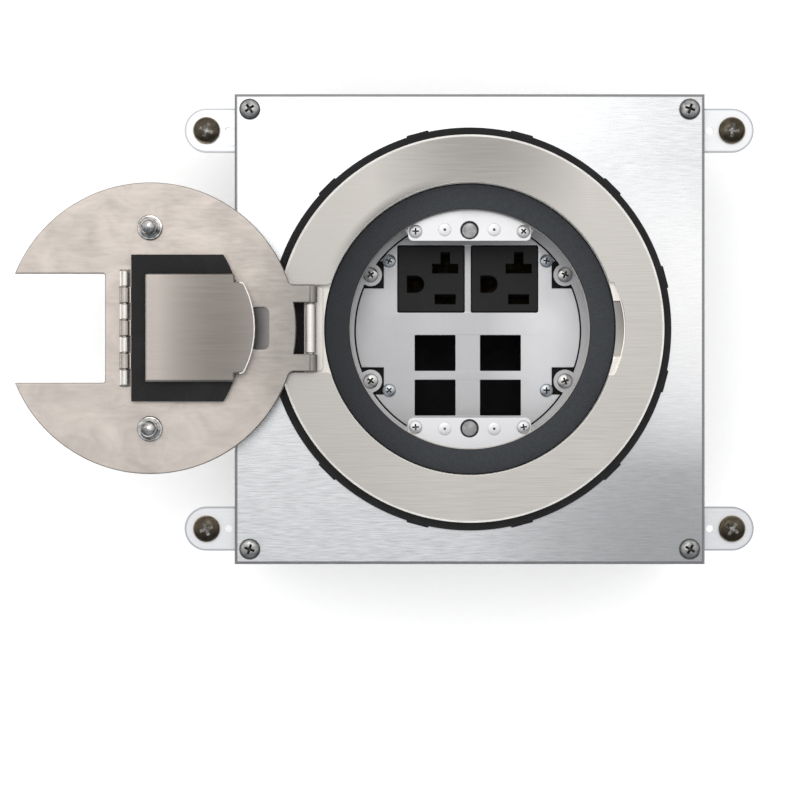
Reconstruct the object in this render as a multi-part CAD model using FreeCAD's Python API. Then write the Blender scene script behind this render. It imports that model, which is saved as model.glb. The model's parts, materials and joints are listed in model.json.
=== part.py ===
"""Round-lid floor socket box with two outlets, four data openings and a cable flap.

Millimetres. X runs right and Y up in the view from above, Z out of the floor.
The origin is the centre of the box's bottom face. The lid is drawn open, as stored.
"""
import FreeCAD, Part
import math
import os

# Box shell and cover plate
cover_side = 186.0          # outside of the cover's folded lips
cover_top = 88.9            # height of the cover plate's top face
sheet = 1.5                 # sheet steel of the box, cover and divider
lip_depth = 6.0
lip_gap = 0.3
lip_relief = 2.4
cover_edge = 0.7
gusset_leg = 15.0
gusset_t = 2.0
cover_screw_inset = 6.0
cover_screw_head_r = 4.15
cover_screw_shank_r = 1.6
cover_screw_len = 8.0

# Knockout entries in the walls
entry_r = 14.1
large_entry_r = 17.5
entry_x = 45.0
entry_z = 36.0
large_entry_y = 46.0
knockout_groove_w = 0.4
knockout_groove_depth = 0.9

# Mounting ears
ear_inset = 13.7            # ear's middle to the cover's edge
ear_w = 17.5
ear_t = 1.8
ear_screw_reach = 13.4      # ear screw to the box wall
ear_gap_below_lip = 0.5
ear_leg_h = 20.0
ear_screw_head_r = 5.35
ear_screw_shank_r = 2.2
ear_screw_len = 28.0
ear_screw_neck = 0.15       # neck under the head, over the thread's radius
nail_hole_reach = 4.7
nail_hole_r = 1.45
ear_rivet_dy = 4.8
ear_rivet_r = 1.6
ear_rivet_head_r = 2.8
ear_rivet_head_t = 1.2

# Carpet ring and trim ring
carpet_r = 79.6
carpet_t = 2.0
carpet_nub_count = 12
carpet_nub_w = 9.0
carpet_nub_out = 0.6
trim_r = 76.2
trim_t = 6.0
trim_bevel = 0.8
neck_r = 59.0
neck_wall = 1.5
neck_depth = 17.9           # from the trim ring's top to the neck's lower end
leaf_drop = 3.3             # trim ring's top to the hinge leaf's top
ledge_drop = 8.3
ledge_t = 2.0
ledge_r_in = 47.1
foam_r_in = 47.5
foam_gap = 0.3
foam_t = 3.0
lock_ring_r = 67.0
lock_ring_t = 4.5
hole_clear = 0.4

# Lid, its hinge and its cable notch
lid_gap = 0.5               # around the closed lid
lid_t = 3.0
lid_edge = 0.5
hinge_past_lid = 5.6        # hinge axis beyond the lid's rim
lid_tab_fillet_r = 2.5
hinge_lift = 0.2            # hinge axis above the trim ring's top
hinge_pin_r = 1.2
lid_knuckle_r = 2.65
lid_tab_y = (10.0, 16.9)
leaf_knuckle_r = 2.3
leaf_half = 16.6
leaf_t = 1.2
leaf_reach = 1.9            # leaf beyond the hinge axis
leaf_web_half = 1.3
hinge_notch_half = 17.25
hinge_notch_r = 2.0
notch_end_r = 3.2           # rounded ends of the ring at its hinge notch
running_gap = 0.05
press_gap = 0.02
part_gap = 0.3              # between bodies that move past each other
notch_half = 21.3
notch_start = 17.6          # notch edge to the lid's centre
notch_corner_r = 1.0
stud_y = 39.3
stud_flange_r = 5.0
stud_flange_t = 1.2
stud_r = 3.2
stud_len = 8.4
scoop_x = (42.2, 47.0)      # finger scoop, from the lid's centre towards the hinge
scoop_half = 8.4
scoop_corner_r = 2.4
scoop_depth = 1.4
groove_depth = 0.8

# Cable flap
flap_axis = 9.65            # flap hinge to the lid's centre
flap_axis_h = 1.5           # flap hinge above the lid's inner face
flap_pin_r = 0.8
flap_knuckle_r = 2.0
flap_lid_knuckle_r = 1.5
flap_knuckles = 7
flap_barrel = 45.0
flap_foot_reach = 2.2
flap_foot_t = 0.6
flap_neck_half = 1.1
flap_half = 21.0
flap_start = 8.35
flap_step_x = 43.0
flap_bump_half = 17.9
flap_tip_r = 60.6           # tip's arc about the closed lid's centre
flap_corner_r = 5.0
gasket_half = 28.6
gasket_x = (2.6, 43.6)
gasket_t = 1.0
gasket_reach_gap = 1.0      # gasket's corners to the lid's rim
backing_t = 1.0
backing_half = 26.0
backing_end = 41.0

# Finger notch in the trim ring
finger_half = 18.3
finger_r = 62.0
finger_depth = 3.3
finger_scoop_half = 11.0
finger_scoop_r = 61.2
finger_scoop_depth = 4.6

# Well, catch plates and magnets
well_r = 49.5
well_wall = 1.2
plate_drop = 34.0           # trim ring's top to the device plate's top
plate_r = 45.6
plate_t = 2.0
plate_gap = 0.6
lug_xy = (39.5, 21.6)
lug_lift = 1.3              # middle of the lug screws above the box's middle in Y
lug_r = 4.6
lug_notch_x = 34.2
lug_notch_half = 5.5
plate_screw_xy = (32.0, 26.3)
plate_screw_lift = 2.2
plate_screw_r = 2.7
lug_screw_r = 3.1
carrier_x = 30.4
carrier_past_screw = 3.7
carrier_past_plate = 1.5
catch_y = 35.0
catch_t = 1.5
catch_corner_r = 3.0
catch_screw_xy = (21.4, 38.8)
catch_screw_r = 2.65
small_screw_len = 5.0
catch_shank_r = 1.1
lug_shank_r = 1.3
catch_tab_r = 3.2
catch_hole_r = 3.65
catch_rivet_xy = (9.8, 39.5)
catch_rivet_r = 1.2
magnet_r = 4.2
magnet_t = 3.0
bracket_t = 1.0
bracket_half = 13.0
bracket_w = 7.0

# Outlets and data openings
outlet_side = 26.9
outlet_xy = (14.95, 21.2)
outlet_proud = 0.6
outlet_face_t = 8.0
outlet_body_t = 16.0
outlet_body_x = 28.6
outlet_body_y = 26.0
outlet_floor_t = 2.0
outlet_corner_r = 1.0
outlet_chamfer = 0.4
outlet_shoulder = 0.5
terminal_r = 2.8
terminal_t = 1.8
terminal_dx = 5.5
terminal_recess = 1.2
data_w = 16.5
data_h = 14.5
data_x = 13.3
data_y = (-8.9, -27.1)
tee_bar = (0.6, 10.9, 2.4, 6.0)             # x and y of each slot from the outlet's middle
tee_stem = (4.0, 7.6, 5.9, 10.8)
straight_slot = (1.6, 9.9, -10.2, -6.4)
earth_slot = (-9.7, -6.3, -5.5, 1.2)
slot_room = 0.5                             # room round a slot for its contact
contact_gap = 0.3
contact_t = 0.6

# Divider and earthing screw
divider_y = 3.2
divider_foot = 9.0
divider_relief = 0.3
earth_inset = (31.2, 36.2)  # from the box walls
earth_head_r = 4.2
earth_head_t = 3.0
earth_shank_r = 2.0
earth_washer_t = 0.8
slot_w = 1.0

trim_top = cover_top + carpet_t + trim_t
box_half = cover_side / 2 - sheet - lip_gap
recess_r = neck_r - neck_wall
lid_r = recess_r - lid_gap
hinge_reach = lid_r + hinge_past_lid
gasket_reach_r = lid_r - gasket_reach_gap
earth_xy = (box_half - earth_inset[0], box_half - earth_inset[1])
cover_screw_xy = cover_side / 2 - cover_screw_inset
ear_y = cover_side / 2 - ear_inset
ear_screw_x = box_half + ear_screw_reach
nail_hole_x = box_half + nail_hole_reach
well_flange_r = recess_r - part_gap
wall_in = box_half - sheet
rim_z = cover_top - sheet
ledge_top = trim_top - ledge_drop
ledge_low = ledge_top - ledge_t
hinge_z = trim_top + hinge_lift
lid_low = trim_top + 2 * hinge_lift
lid_face = lid_low + lid_t
lid_x = -2 * hinge_reach
plate_top = trim_top - plate_drop
plate_low = plate_top - plate_t
carrier_low = plate_low - plate_t
catch_low = ledge_low - catch_t
flap_x = lid_x - flap_axis
flap_z = lid_face + flap_axis_h

V = FreeCAD.Vector
UP = V(0, 0, 1)


def box(x0, x1, y0, y1, z0, z1):
    return Part.makeBox(x1 - x0, y1 - y0, z1 - z0, V(x0, y0, z0))


def cyl(x, y, r, z0, z1):
    return Part.makeCylinder(r, z1 - z0, V(x, y, z0), UP)


def cyl_y(x, z, r, y0, y1):
    return Part.makeCylinder(r, y1 - y0, V(x, y0, z), V(0, 1, 0))


def tube(r_in, r_out, z0, z1):
    return cyl(0, 0, r_out, z0, z1).cut(cyl(0, 0, r_in, z0 - 1, z1 + 1))


def rounded_box(x0, x1, y0, y1, z0, z1, r):
    """A block whose four upright edges are rounded."""
    block = box(x0, x1, y0, y1, z0, z1)
    upright = [e for e in block.Edges if abs(e.tangentAt(e.FirstParameter).z) > 0.99]
    return block.makeFillet(r, upright)


def turned(points):
    """A solid of revolution about Z from (radius, height) corners."""
    corners = [V(r, 0, z) for r, z in points]
    outline = Part.makePolygon(corners + [corners[0]])
    return Part.Face(outline).revolve(V(0, 0, 0), UP, 360)


def corners_of(xy, lift=0.0):
    """The same place in all four quarters, the four moved up in Y together."""
    x, y = xy
    return [(sx * x, sy * y + lift) for sx in (-1, 1) for sy in (-1, 1)]


def joined(shapes):
    result = shapes[0]
    for shape in shapes[1:]:
        result = result.fuse(shape)
    return result.removeSplitter()


def save(name, shape):
    os.makedirs("parts", exist_ok=True)
    solids = shape.Solids
    if not shape.isValid() or not solids:
        raise ValueError(name + " is not a valid solid")
    keep = solids[0] if len(solids) == 1 else Part.makeCompound(solids)
    keep.exportStep("parts/" + name + ".step")


def pan_screw(head_r, shank_r, length, neck=0.0, recess=False):
    """Pan-head screw at the origin, its seat at height 0; a wood screw has a neck and a point."""
    head_h = head_r * 0.5
    outline = [(0, -length), (shank_r, -length)]
    if neck:
        neck_edge = shank_r + ear_screw_neck
        outline = [(0, -length), (shank_r, shank_r * 2 - length), (shank_r, -neck), (neck_edge, -neck)]
        outline.append((neck_edge, 0))
    else:
        outline.append((shank_r, 0))
    outline += [(head_r, 0), (head_r, head_h * 0.45), (head_r * 0.62, head_h), (0, head_h)]
    screw = turned(outline)
    if not recess:
        return screw
    arm = head_r * 0.6
    wide = head_r * 0.12
    cross = box(-arm, arm, -wide, wide, head_h * 0.35, head_h + 1)
    return screw.cut(cross.fuse(cross.rotated(V(0, 0, 0), UP, 90)))


def placed(shape, x, y, z, turn=0.0):
    copy = shape.copy()
    copy.rotate(V(0, 0, 0), UP, turn)
    copy.translate(V(x, y, z))
    return copy


def rivet_x(side, y, z):
    """Blind rivet along X through an ear's leg and the box wall."""
    along = V(1, 0, 0)
    outer = box_half + ear_t
    shank = Part.makeCylinder(ear_rivet_r, ear_t + sheet, V(wall_in, y, z), along)
    head = Part.makeCone(ear_rivet_head_r, ear_rivet_r, ear_rivet_head_t, V(outer, y, z), along)
    rivet = joined([shank, head])
    return rivet if side > 0 else rivet.mirror(V(0, 0, 0), along)


def ear_rivet_z():
    return cover_top - lip_depth - ear_gap_below_lip - ear_leg_h * 0.7


def wall_hole(x, y, r, along, depth, z):
    """A cylinder that enters the wall at (x, y) from outside."""
    start = V(x, y, z) + along * 1.0
    return Part.makeCylinder(r, depth + 1.0, start, along * -1)


def box_shell():
    outer = box(-box_half, box_half, -box_half, box_half, 0, rim_z)
    shell = outer.cut(box(-wall_in, wall_in, -wall_in, wall_in, sheet, rim_z + 1))
    for sx, sy in corners_of((1, 1)):
        corner = V(sx * (wall_in + 0.1), sy * (wall_in + 0.1), rim_z - gusset_t)
        ends = [corner, corner - V(sx * gusset_leg, 0, 0), corner - V(0, sy * gusset_leg, 0)]
        gusset = Part.Face(Part.makePolygon(ends + [corner])).extrude(V(0, 0, gusset_t))
        shell = shell.fuse(gusset)
    for x, y in corners_of((cover_screw_xy, cover_screw_xy)):
        shell = shell.cut(cyl(x, y, cover_screw_shank_r + running_gap, rim_z - 5, rim_z + 1))
    open_entries = [(-entry_x, 1), (entry_x, -1)]
    for x, side in open_entries:
        shell = shell.cut(wall_hole(x, side * box_half, entry_r, V(0, side, 0), sheet + 1, entry_z))
    closed = [(V(entry_x, box_half, entry_z), V(0, 1, 0), entry_r)]
    closed.append((V(-entry_x, -box_half, entry_z), V(0, -1, 0), entry_r))
    for sx, sy in corners_of((1, 1)):
        closed.append((V(sx * box_half, sy * large_entry_y, entry_z), V(sx, 0, 0), large_entry_r))
    for place, along, r in closed:
        disc = wall_hole(place.x, place.y, r, along, knockout_groove_depth, place.z)
        core = wall_hole(place.x, place.y, r - knockout_groove_w, along, knockout_groove_depth, place.z)
        shell = shell.cut(disc.cut(core))
    for sx, sy in corners_of((1, 1)):
        for dy in (-ear_rivet_dy, ear_rivet_dy):
            place = V(sx * (wall_in - 2), sy * ear_y + dy, ear_rivet_z())
            hole = Part.makeCylinder(ear_rivet_r + running_gap, sheet + 4, place, V(sx, 0, 0))
            shell = shell.cut(hole)
    shell = shell.cut(cyl(earth_xy[0], earth_xy[1], earth_shank_r + running_gap, -1, sheet + 1))
    return shell.removeSplitter()


def cover_plate():
    half = cover_side / 2
    plate = box(-half, half, -half, half, cover_top - lip_depth, cover_top)
    top_edges = [e for e in plate.Edges if e.BoundBox.ZMin > cover_top - 0.01]
    plate = plate.makeChamfer(cover_edge, top_edges)
    inner = half - sheet
    plate = plate.cut(box(-inner, inner, -inner, inner, cover_top - lip_depth - 1, rim_z))
    for sx, sy in corners_of((1, 1)):
        cx, cy = sx * half, sy * half
        relief = box(cx - lip_relief, cx + lip_relief, cy - lip_relief, cy + lip_relief,
                     cover_top - lip_depth - 1, rim_z)
        plate = plate.cut(relief)
    for x, y in corners_of((cover_screw_xy, cover_screw_xy)):
        plate = plate.cut(cyl(x, y, cover_screw_shank_r + part_gap, rim_z - 1, cover_top + 1))
    return plate.cut(cyl(0, 0, neck_r + hole_clear, rim_z - 1, cover_top + 1))


def ear(sx, sy):
    top = cover_top - lip_depth - ear_gap_below_lip
    y = ear_y
    tab = box(box_half, ear_screw_x, y - ear_w / 2, y + ear_w / 2, top - ear_t, top)
    tab = tab.fuse(cyl(ear_screw_x, y, ear_w / 2, top - ear_t, top))
    leg = box(box_half, box_half + ear_t, y - ear_w / 2, y + ear_w / 2, top - ear_leg_h, top)
    body = tab.fuse(leg).removeSplitter()
    bend = [e for e in body.Edges if e.BoundBox.XMax < box_half + 0.01 and e.BoundBox.ZMin > top - 0.01]
    body = body.makeFillet(ear_t * 0.6, bend)
    body = body.cut(cyl(ear_screw_x, y, ear_screw_shank_r + part_gap, top - 5, top + 1))
    body = body.cut(cyl(nail_hole_x, y, nail_hole_r, top - 5, top + 1))
    for dy in (-ear_rivet_dy, ear_rivet_dy):
        place = V(box_half - 1, y + dy, ear_rivet_z())
        body = body.cut(Part.makeCylinder(ear_rivet_r + running_gap, ear_t + 2, place, V(1, 0, 0)))
    if sx < 0:
        body = body.mirror(V(0, 0, 0), V(1, 0, 0))
    if sy < 0:
        body = body.mirror(V(0, 0, 0), V(0, 1, 0))
    return body


def carpet_ring():
    ring = tube(neck_r + hole_clear, carpet_r, cover_top, cover_top + carpet_t)
    for i in range(carpet_nub_count):
        nub = box(carpet_r - 2, carpet_r + carpet_nub_out, -carpet_nub_w / 2, carpet_nub_w / 2,
                  cover_top, cover_top + carpet_t * 0.6)
        nub.rotate(V(0, 0, 0), UP, (i + 0.5) * 360.0 / carpet_nub_count)
        ring = ring.fuse(nub)
    return ring.removeSplitter()


def trim_ring():
    low = trim_top - trim_t
    neck_low = trim_top - neck_depth
    ring = turned([
        (recess_r, trim_top), (trim_r - trim_bevel, trim_top), (trim_r, trim_top - trim_bevel),
        (trim_r, low), (neck_r, low), (neck_r, neck_low), (recess_r, neck_low),
        (recess_r, ledge_low), (ledge_r_in, ledge_low), (ledge_r_in, ledge_top), (recess_r, ledge_top)])
    floor = trim_top - leaf_drop - leaf_t
    past = recess_r / 8
    ring = ring.cut(box(-trim_r - past, past - recess_r, -hinge_notch_half, hinge_notch_half,
                        floor, trim_top + 1))
    for outside, r in ((True, notch_end_r), (False, hinge_notch_r)):
        ring = ring.makeFillet(r, [e for e in ring.Edges if at_notch_end(e, outside)])
    ring = ring.cut(box(-trim_r - past, -hinge_reach - leaf_reach - hole_clear, -hinge_notch_half,
                        hinge_notch_half, low - 1, trim_top + 1))
    finger = cyl(0, 0, finger_r, trim_top - finger_depth, trim_top + 1)
    finger = finger.common(box(0, finger_r + 1, -finger_half, finger_half, 0, trim_top + 1))
    scoop = cyl(0, 0, finger_scoop_r, trim_top - finger_scoop_depth, trim_top)
    scoop = scoop.common(box(recess_r + 0.6, finger_r + 1, -finger_scoop_half, finger_scoop_half,
                             0, trim_top + 1))
    return ring.cut(finger).cut(scoop)


def at_notch_end(edge, outside):
    """True for the notch's upright edges on the trim ring's outer face, or on its inner face."""
    span = edge.BoundBox
    upright = span.ZLength > 1.0 and span.XLength < 0.01
    at_side = abs(abs(span.YMax) - hinge_notch_half) < 0.01 and span.ZMin > ledge_top
    return upright and at_side and (span.XMax < -hinge_reach) == outside


def ring_hinge_leaf():
    """Plate in the trim ring's notch with the middle knuckle standing on it."""
    floor = trim_top - leaf_drop - leaf_t
    top = floor + leaf_t
    y0 = lid_tab_y[0] - part_gap
    plate = box(-hinge_reach - leaf_reach, -recess_r - hole_clear, -leaf_half, leaf_half, floor, top)
    web = box(-hinge_reach - leaf_web_half, -hinge_reach + leaf_web_half, -y0, y0, floor, hinge_z)
    knuckle = cyl_y(-hinge_reach, hinge_z, leaf_knuckle_r, -y0, y0)
    leaf = joined([plate, web, knuckle])
    return leaf.cut(cyl_y(-hinge_reach, hinge_z, hinge_pin_r + running_gap, -y0 - 1, y0 + 1))


def lid_plate():
    lid = cyl(lid_x, 0, lid_r, lid_low, lid_face)
    rims = [e for e in lid.Edges if e.Length > 2 * math.pi * (lid_r - 1)]
    lid = lid.makeChamfer(lid_edge, rims)
    edge_x = lid_x + math.sqrt(lid_r ** 2 - lid_tab_y[1] ** 2) - 1.0
    for side in (-1, 1):
        y0, y1 = sorted((side * lid_tab_y[0], side * lid_tab_y[1]))
        tab = box(edge_x, -hinge_reach, y0, y1, lid_low, lid_face)
        knuckle = cyl_y(-hinge_reach, hinge_z, lid_knuckle_r, y0, y1)
        lid = lid.fuse(tab).fuse(knuckle).fuse(tab_fillet(side))
    notch = rounded_box(lid_x - lid_r - 8, lid_x - notch_start, -notch_half, notch_half,
                        lid_low - 1, lid_face + 1, notch_corner_r)
    lid = lid.cut(notch)
    lid = lid.cut(cyl_y(-hinge_reach, hinge_z, hinge_pin_r + press_gap, -lid_r, lid_r))
    groove_half = flap_barrel / 2 + hole_clear
    groove = box(flap_x - flap_foot_reach - running_gap, flap_x + flap_knuckle_r + hole_clear,
                 -groove_half, groove_half, lid_face - groove_depth, lid_face + 1)
    lid = lid.cut(groove)
    scoop = rounded_box(lid_x + scoop_x[0] - 3.0, lid_x + scoop_x[1], -scoop_half, scoop_half,
                        lid_face - scoop_depth, lid_face + 1, scoop_corner_r)
    lid = lid.cut(scoop)
    for side in (-1, 1):
        lid = lid.cut(cyl(lid_x, side * stud_y, stud_r * 0.6 + running_gap, lid_low + 1, lid_face + 1))
    return lid.removeSplitter()


def tab_fillet(side):
    """Round inner corner where a hinge tab leaves the lid's rim."""
    y = side * lid_tab_y[1]
    reach = lid_r + lid_tab_fillet_r
    cy = y + side * lid_tab_fillet_r
    cx = lid_x + math.sqrt(reach ** 2 - cy ** 2)
    touch = lid_r / reach
    low, high = sorted((y - side, touch * cy))
    block = box(lid_x + touch * (cx - lid_x) - 1, cx, low, high, lid_low + lid_edge, lid_face - lid_edge)
    return block.cut(cyl(cx, cy, lid_tab_fillet_r, lid_low, lid_face))


def latch_studs():
    """Domed studs that drop through the catch plates onto the magnets."""
    studs = []
    for side in (-1, 1):
        y = side * stud_y
        flange = Part.makeCone(stud_flange_r, stud_flange_r * 0.86, stud_flange_t, V(lid_x, y, lid_face), UP)
        post = cyl(lid_x, y, stud_r, lid_face, lid_face + stud_len)
        tip = [e for e in post.Edges if e.BoundBox.ZMin > lid_face + stud_len - 0.01]
        post = post.makeChamfer(stud_r * 0.45, tip)
        spigot = cyl(lid_x, y, stud_r * 0.6, lid_low + 1.2, lid_face + 0.1)
        studs.append(joined([flange, post, spigot]))
    return Part.makeCompound(studs)


def knuckle_spans(kind):
    """Lengths along Y of the flap hinge's knuckles: 0 for the lid's, 1 for the flap's."""
    pitch = flap_barrel / flap_knuckles
    gap = part_gap / 2
    spans = []
    for i in range(flap_knuckles):
        if i % 2 == kind:
            low = -flap_barrel / 2 + i * pitch
            spans.append((low + gap, low + pitch - gap))
    return spans


def flap_hinge_knuckles():
    solids = []
    for y0, y1 in knuckle_spans(0):
        barrel = cyl_y(flap_x, flap_z, flap_lid_knuckle_r, y0, y1)
        foot = box(flap_x - flap_foot_reach, flap_x + flap_neck_half, y0, y1,
                   lid_face - groove_depth, lid_face + flap_foot_t)
        neck = box(flap_x - flap_neck_half, flap_x + flap_neck_half, y0, y1, lid_face, flap_z)
        solid = joined([barrel, foot, neck])
        solids.append(solid.cut(cyl_y(flap_x, flap_z, flap_pin_r + press_gap, y0 - 1, y1 + 1)))
    return Part.makeCompound(solids)


def flap_backing():
    low = flap_z - backing_t / 2
    high = flap_z + backing_t / 2
    start = flap_knuckle_r + part_gap
    sheet_body = box(flap_x + start, flap_x + backing_end, -backing_half, backing_half, low, high)
    pieces = [sheet_body]
    for y0, y1 in knuckle_spans(1):
        pieces.append(cyl_y(flap_x, flap_z, flap_knuckle_r, y0, y1))
        pieces.append(box(flap_x, flap_x + start + 0.5, y0, y1, low, high))
    body = joined(pieces)
    closed_centre = flap_x - flap_axis
    body = body.common(cyl(closed_centre, 0, gasket_reach_r, low - flap_knuckle_r, high + flap_knuckle_r))
    return body.cut(cyl_y(flap_x, flap_z, flap_pin_r + running_gap, -flap_barrel, flap_barrel))


def flap_gasket():
    """Black sheet under the flap, cut to the lid's rim at its far corners."""
    low = flap_z + backing_t / 2
    x0, x1 = flap_x + gasket_x[0], flap_x + gasket_x[1]
    body = box(x0, x1, -gasket_half, gasket_half, low, low + gasket_t)
    closed_centre = flap_x - flap_axis
    return body.common(cyl(closed_centre, 0, gasket_reach_r, low - 1, low + gasket_t + 1))


def flap_plate():
    """Stainless outer plate with the narrower lifting tip."""
    low = flap_z + backing_t / 2 + gasket_t
    high = low + lid_t
    main = rounded_box(flap_x + flap_start, flap_x + flap_step_x, -flap_half, flap_half, low, high, 0.8)
    bump = rounded_box(flap_x + flap_start, flap_x + flap_tip_r - flap_axis, -flap_bump_half,
                       flap_bump_half, low, high, flap_corner_r)
    closed_centre = flap_x - flap_axis
    bump = bump.common(cyl(closed_centre, 0, flap_tip_r, low - 1, high + 1))
    plate = main.fuse(bump).removeSplitter()
    return plate.common(cyl(closed_centre, 0, flap_tip_r, low - 1, high + 1))


def lug_tab(x, y, r, z0, z1):
    """Rounded lug that reaches from the sleeve's wall to its screw."""
    turn = math.degrees(math.atan2(y, x))
    reach = math.hypot(x, y)
    arm = box(reach, well_r + well_wall, -r, r, z0, z1)
    arm.rotate(V(0, 0, 0), UP, turn)
    return cyl(x, y, r, z0, z1).fuse(arm)


def well_sleeve():
    """Rolled sleeve that hangs from its flange under the trim ring."""
    flange = tube(well_r, well_flange_r, ledge_low - well_wall, ledge_low)
    return joined([tube(well_r, well_r + well_wall, plate_low, ledge_low), flange])


def well_foot():
    """Ring in the sleeve's lower end, with a lug at each carrier screw."""
    inside = cyl(0, 0, well_r - running_gap, plate_low, plate_top)
    pieces = [tube(plate_r + plate_gap, well_r, plate_low, plate_top)]
    places = corners_of(lug_xy, lug_lift)
    pieces += [lug_tab(x, y, lug_r, plate_low, plate_top) for x, y in places]
    foot = joined(pieces).common(inside)
    for x, y in places:
        foot = foot.cut(cyl(x, y, lug_shank_r + running_gap, plate_low - 1, plate_top + 1))
    return foot


def catch_tabs():
    """Tabs welded inside the sleeve that carry the catch plates."""
    low = catch_low - catch_t
    inside = cyl(0, 0, well_r - running_gap, low, catch_low)
    tabs = []
    for x, y in corners_of(catch_screw_xy):
        tab = lug_tab(x, y, catch_tab_r, low, catch_low).common(inside)
        tabs.append(tab.cut(cyl(x, y, catch_shank_r + running_gap, low - 1, catch_low + 1)))
    return Part.makeCompound(tabs)


def catch_plate(side):
    disc = cyl(0, 0, well_r - part_gap, catch_low, ledge_low)
    y0, y1 = sorted((side * catch_y, side * well_r))
    half = catch_screw_xy[0] + catch_corner_r
    plate = disc.common(box(-half, half, y0, y1, catch_low, ledge_low))
    plate = plate.cut(cyl(0, side * stud_y, catch_hole_r, catch_low - 1, ledge_low + 1))
    for sx in (-1, 1):
        plate = plate.cut(cyl(sx * catch_screw_xy[0], side * catch_screw_xy[1],
                              catch_shank_r + running_gap, catch_low - 1, ledge_low + 1))
        plate = plate.cut(cyl(sx * catch_rivet_xy[0], side * catch_rivet_xy[1],
                              catch_rivet_r + running_gap, catch_low - 1, ledge_low + 1))
    return plate


def magnet_bracket(side):
    """Hat-shaped strap that holds the magnet against the catch plate."""
    y = side * stud_y
    low = catch_low - magnet_t
    y0, y1 = y - bracket_w / 2, y + bracket_w / 2
    cup = magnet_r + part_gap
    pieces = [box(-cup - bracket_t, cup + bracket_t, y0, y1, low - bracket_t, low)]
    for sx in (-1, 1):
        x0, x1 = sorted((sx * cup, sx * (cup + bracket_t)))
        pieces.append(box(x0, x1, y0, y1, low - bracket_t, catch_low))
        x0, x1 = sorted((sx * cup, sx * bracket_half))
        pieces.append(box(x0, x1, y0, y1, catch_low - bracket_t, catch_low))
    strap = joined(pieces).common(cyl(0, 0, well_r - part_gap, low - 5, catch_low))
    for sx in (-1, 1):
        hole = cyl(sx * catch_rivet_xy[0], side * catch_rivet_xy[1], catch_rivet_r + running_gap,
                   low, catch_low + 1)
        strap = strap.cut(hole)
    return strap


def catch_rivets():
    rivets = []
    for x, y in corners_of(catch_rivet_xy):
        low = catch_low - bracket_t
        shank = cyl(x, y, catch_rivet_r, low - 0.2, ledge_low + 0.1)
        head = Part.makeCone(catch_rivet_r * 2.2, catch_rivet_r * 1.5, 0.5, V(x, y, ledge_low), UP)
        tail = cyl(x, y, catch_rivet_r * 1.5, low - 0.8, low)
        rivets.append(joined([shank, head, tail]))
    return Part.makeCompound(rivets)


def device_plate():
    plate = cyl(0, 0, plate_r, plate_low, plate_top)
    for x, y in corners_of(lug_xy, lug_lift):
        xa, xb = sorted((math.copysign(lug_notch_x, x), math.copysign(plate_r + 1, x)))
        plate = plate.cut(box(xa, xb, y - lug_notch_half, y + lug_notch_half, plate_low - 1, plate_top + 1))
    hole = outlet_side / 2 + 0.2
    for sx in (-1, 1):
        x, y = sx * outlet_xy[0], outlet_xy[1]
        plate = plate.cut(box(x - hole, x + hole, y - hole, y + hole, plate_low - 1, plate_top + 1))
        for row in data_y:
            xc = sx * data_x
            plate = plate.cut(box(xc - data_w / 2, xc + data_w / 2, row - data_h / 2, row + data_h / 2,
                                  plate_low - 1, plate_top + 1))
    for x, y in corners_of(plate_screw_xy, plate_screw_lift):
        plate = plate.cut(cyl(x, y, catch_shank_r + running_gap, plate_low - 1, plate_top + 1))
    return plate


def carrier(side):
    """Side carrier under the device plate and the well's lugs."""
    disc = cyl(0, 0, plate_r + carrier_past_plate, carrier_low, plate_low)
    x0, x1 = sorted((side * carrier_x, side * (plate_r + 5)))
    reach = plate_screw_xy[1] + carrier_past_screw
    y0, y1 = plate_screw_lift - reach, plate_screw_lift + reach
    body = disc.common(box(x0, x1, y0, y1, carrier_low, plate_low))
    for places, r in ((corners_of(lug_xy, lug_lift), lug_shank_r),
                      (corners_of(plate_screw_xy, plate_screw_lift), catch_shank_r)):
        for x, y in places:
            body = body.cut(cyl(x, y, r + running_gap, carrier_low - 1, plate_low + 1))
    return body


def slot_block(x, y, span, z0, z1, room=0.0):
    x0, x1, y0, y1 = span
    return box(x + x0 - room, x + x1 + room, y + y0 - room, y + y1 + room, z0, z1)


def slot_tools(x, y, z0, z1):
    """Openings of a 20 A outlet: tee slot, straight slot and an earth slot with a round nose."""
    tee = slot_block(x, y, tee_bar, z0, z1).fuse(slot_block(x, y, tee_stem, z0, z1))
    straight = slot_block(x, y, straight_slot, z0, z1)
    earth = slot_block(x, y, earth_slot, z0, z1)
    middle = (earth_slot[2] + earth_slot[3]) / 2
    nose = cyl(x + earth_slot[1], y + middle, earth_slot[3] - middle, z0, z1)
    return tee, straight, earth.fuse(nose)


def outlet_face(side):
    x, y = side * outlet_xy[0], outlet_xy[1]
    half = outlet_side / 2
    top = plate_top + outlet_proud
    low = top - outlet_face_t
    face = rounded_box(x - half, x + half, y - half, y + half, low, top, outlet_corner_r)
    rim = [e for e in face.Edges if e.BoundBox.ZMin > top - 0.01]
    face = face.makeChamfer(outlet_chamfer, rim)
    wide = outlet_body_x / 2
    deep = half + outlet_shoulder
    face = face.fuse(rounded_box(x - wide, x + wide, y - deep, y + deep, low, plate_low, outlet_corner_r))
    for tool in slot_tools(x, y, low - 1, top + 1):
        face = face.cut(tool)
    return face


def contact_rooms():
    """Rooms for the contacts behind the slots, as x and y from the outlet's middle."""
    tee = (tee_bar[0], tee_bar[1], tee_bar[2], tee_stem[3])
    nose = earth_slot[1] + (earth_slot[3] - earth_slot[2]) / 2
    return [tee, straight_slot, (earth_slot[0], nose, earth_slot[2], earth_slot[3])]


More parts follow.
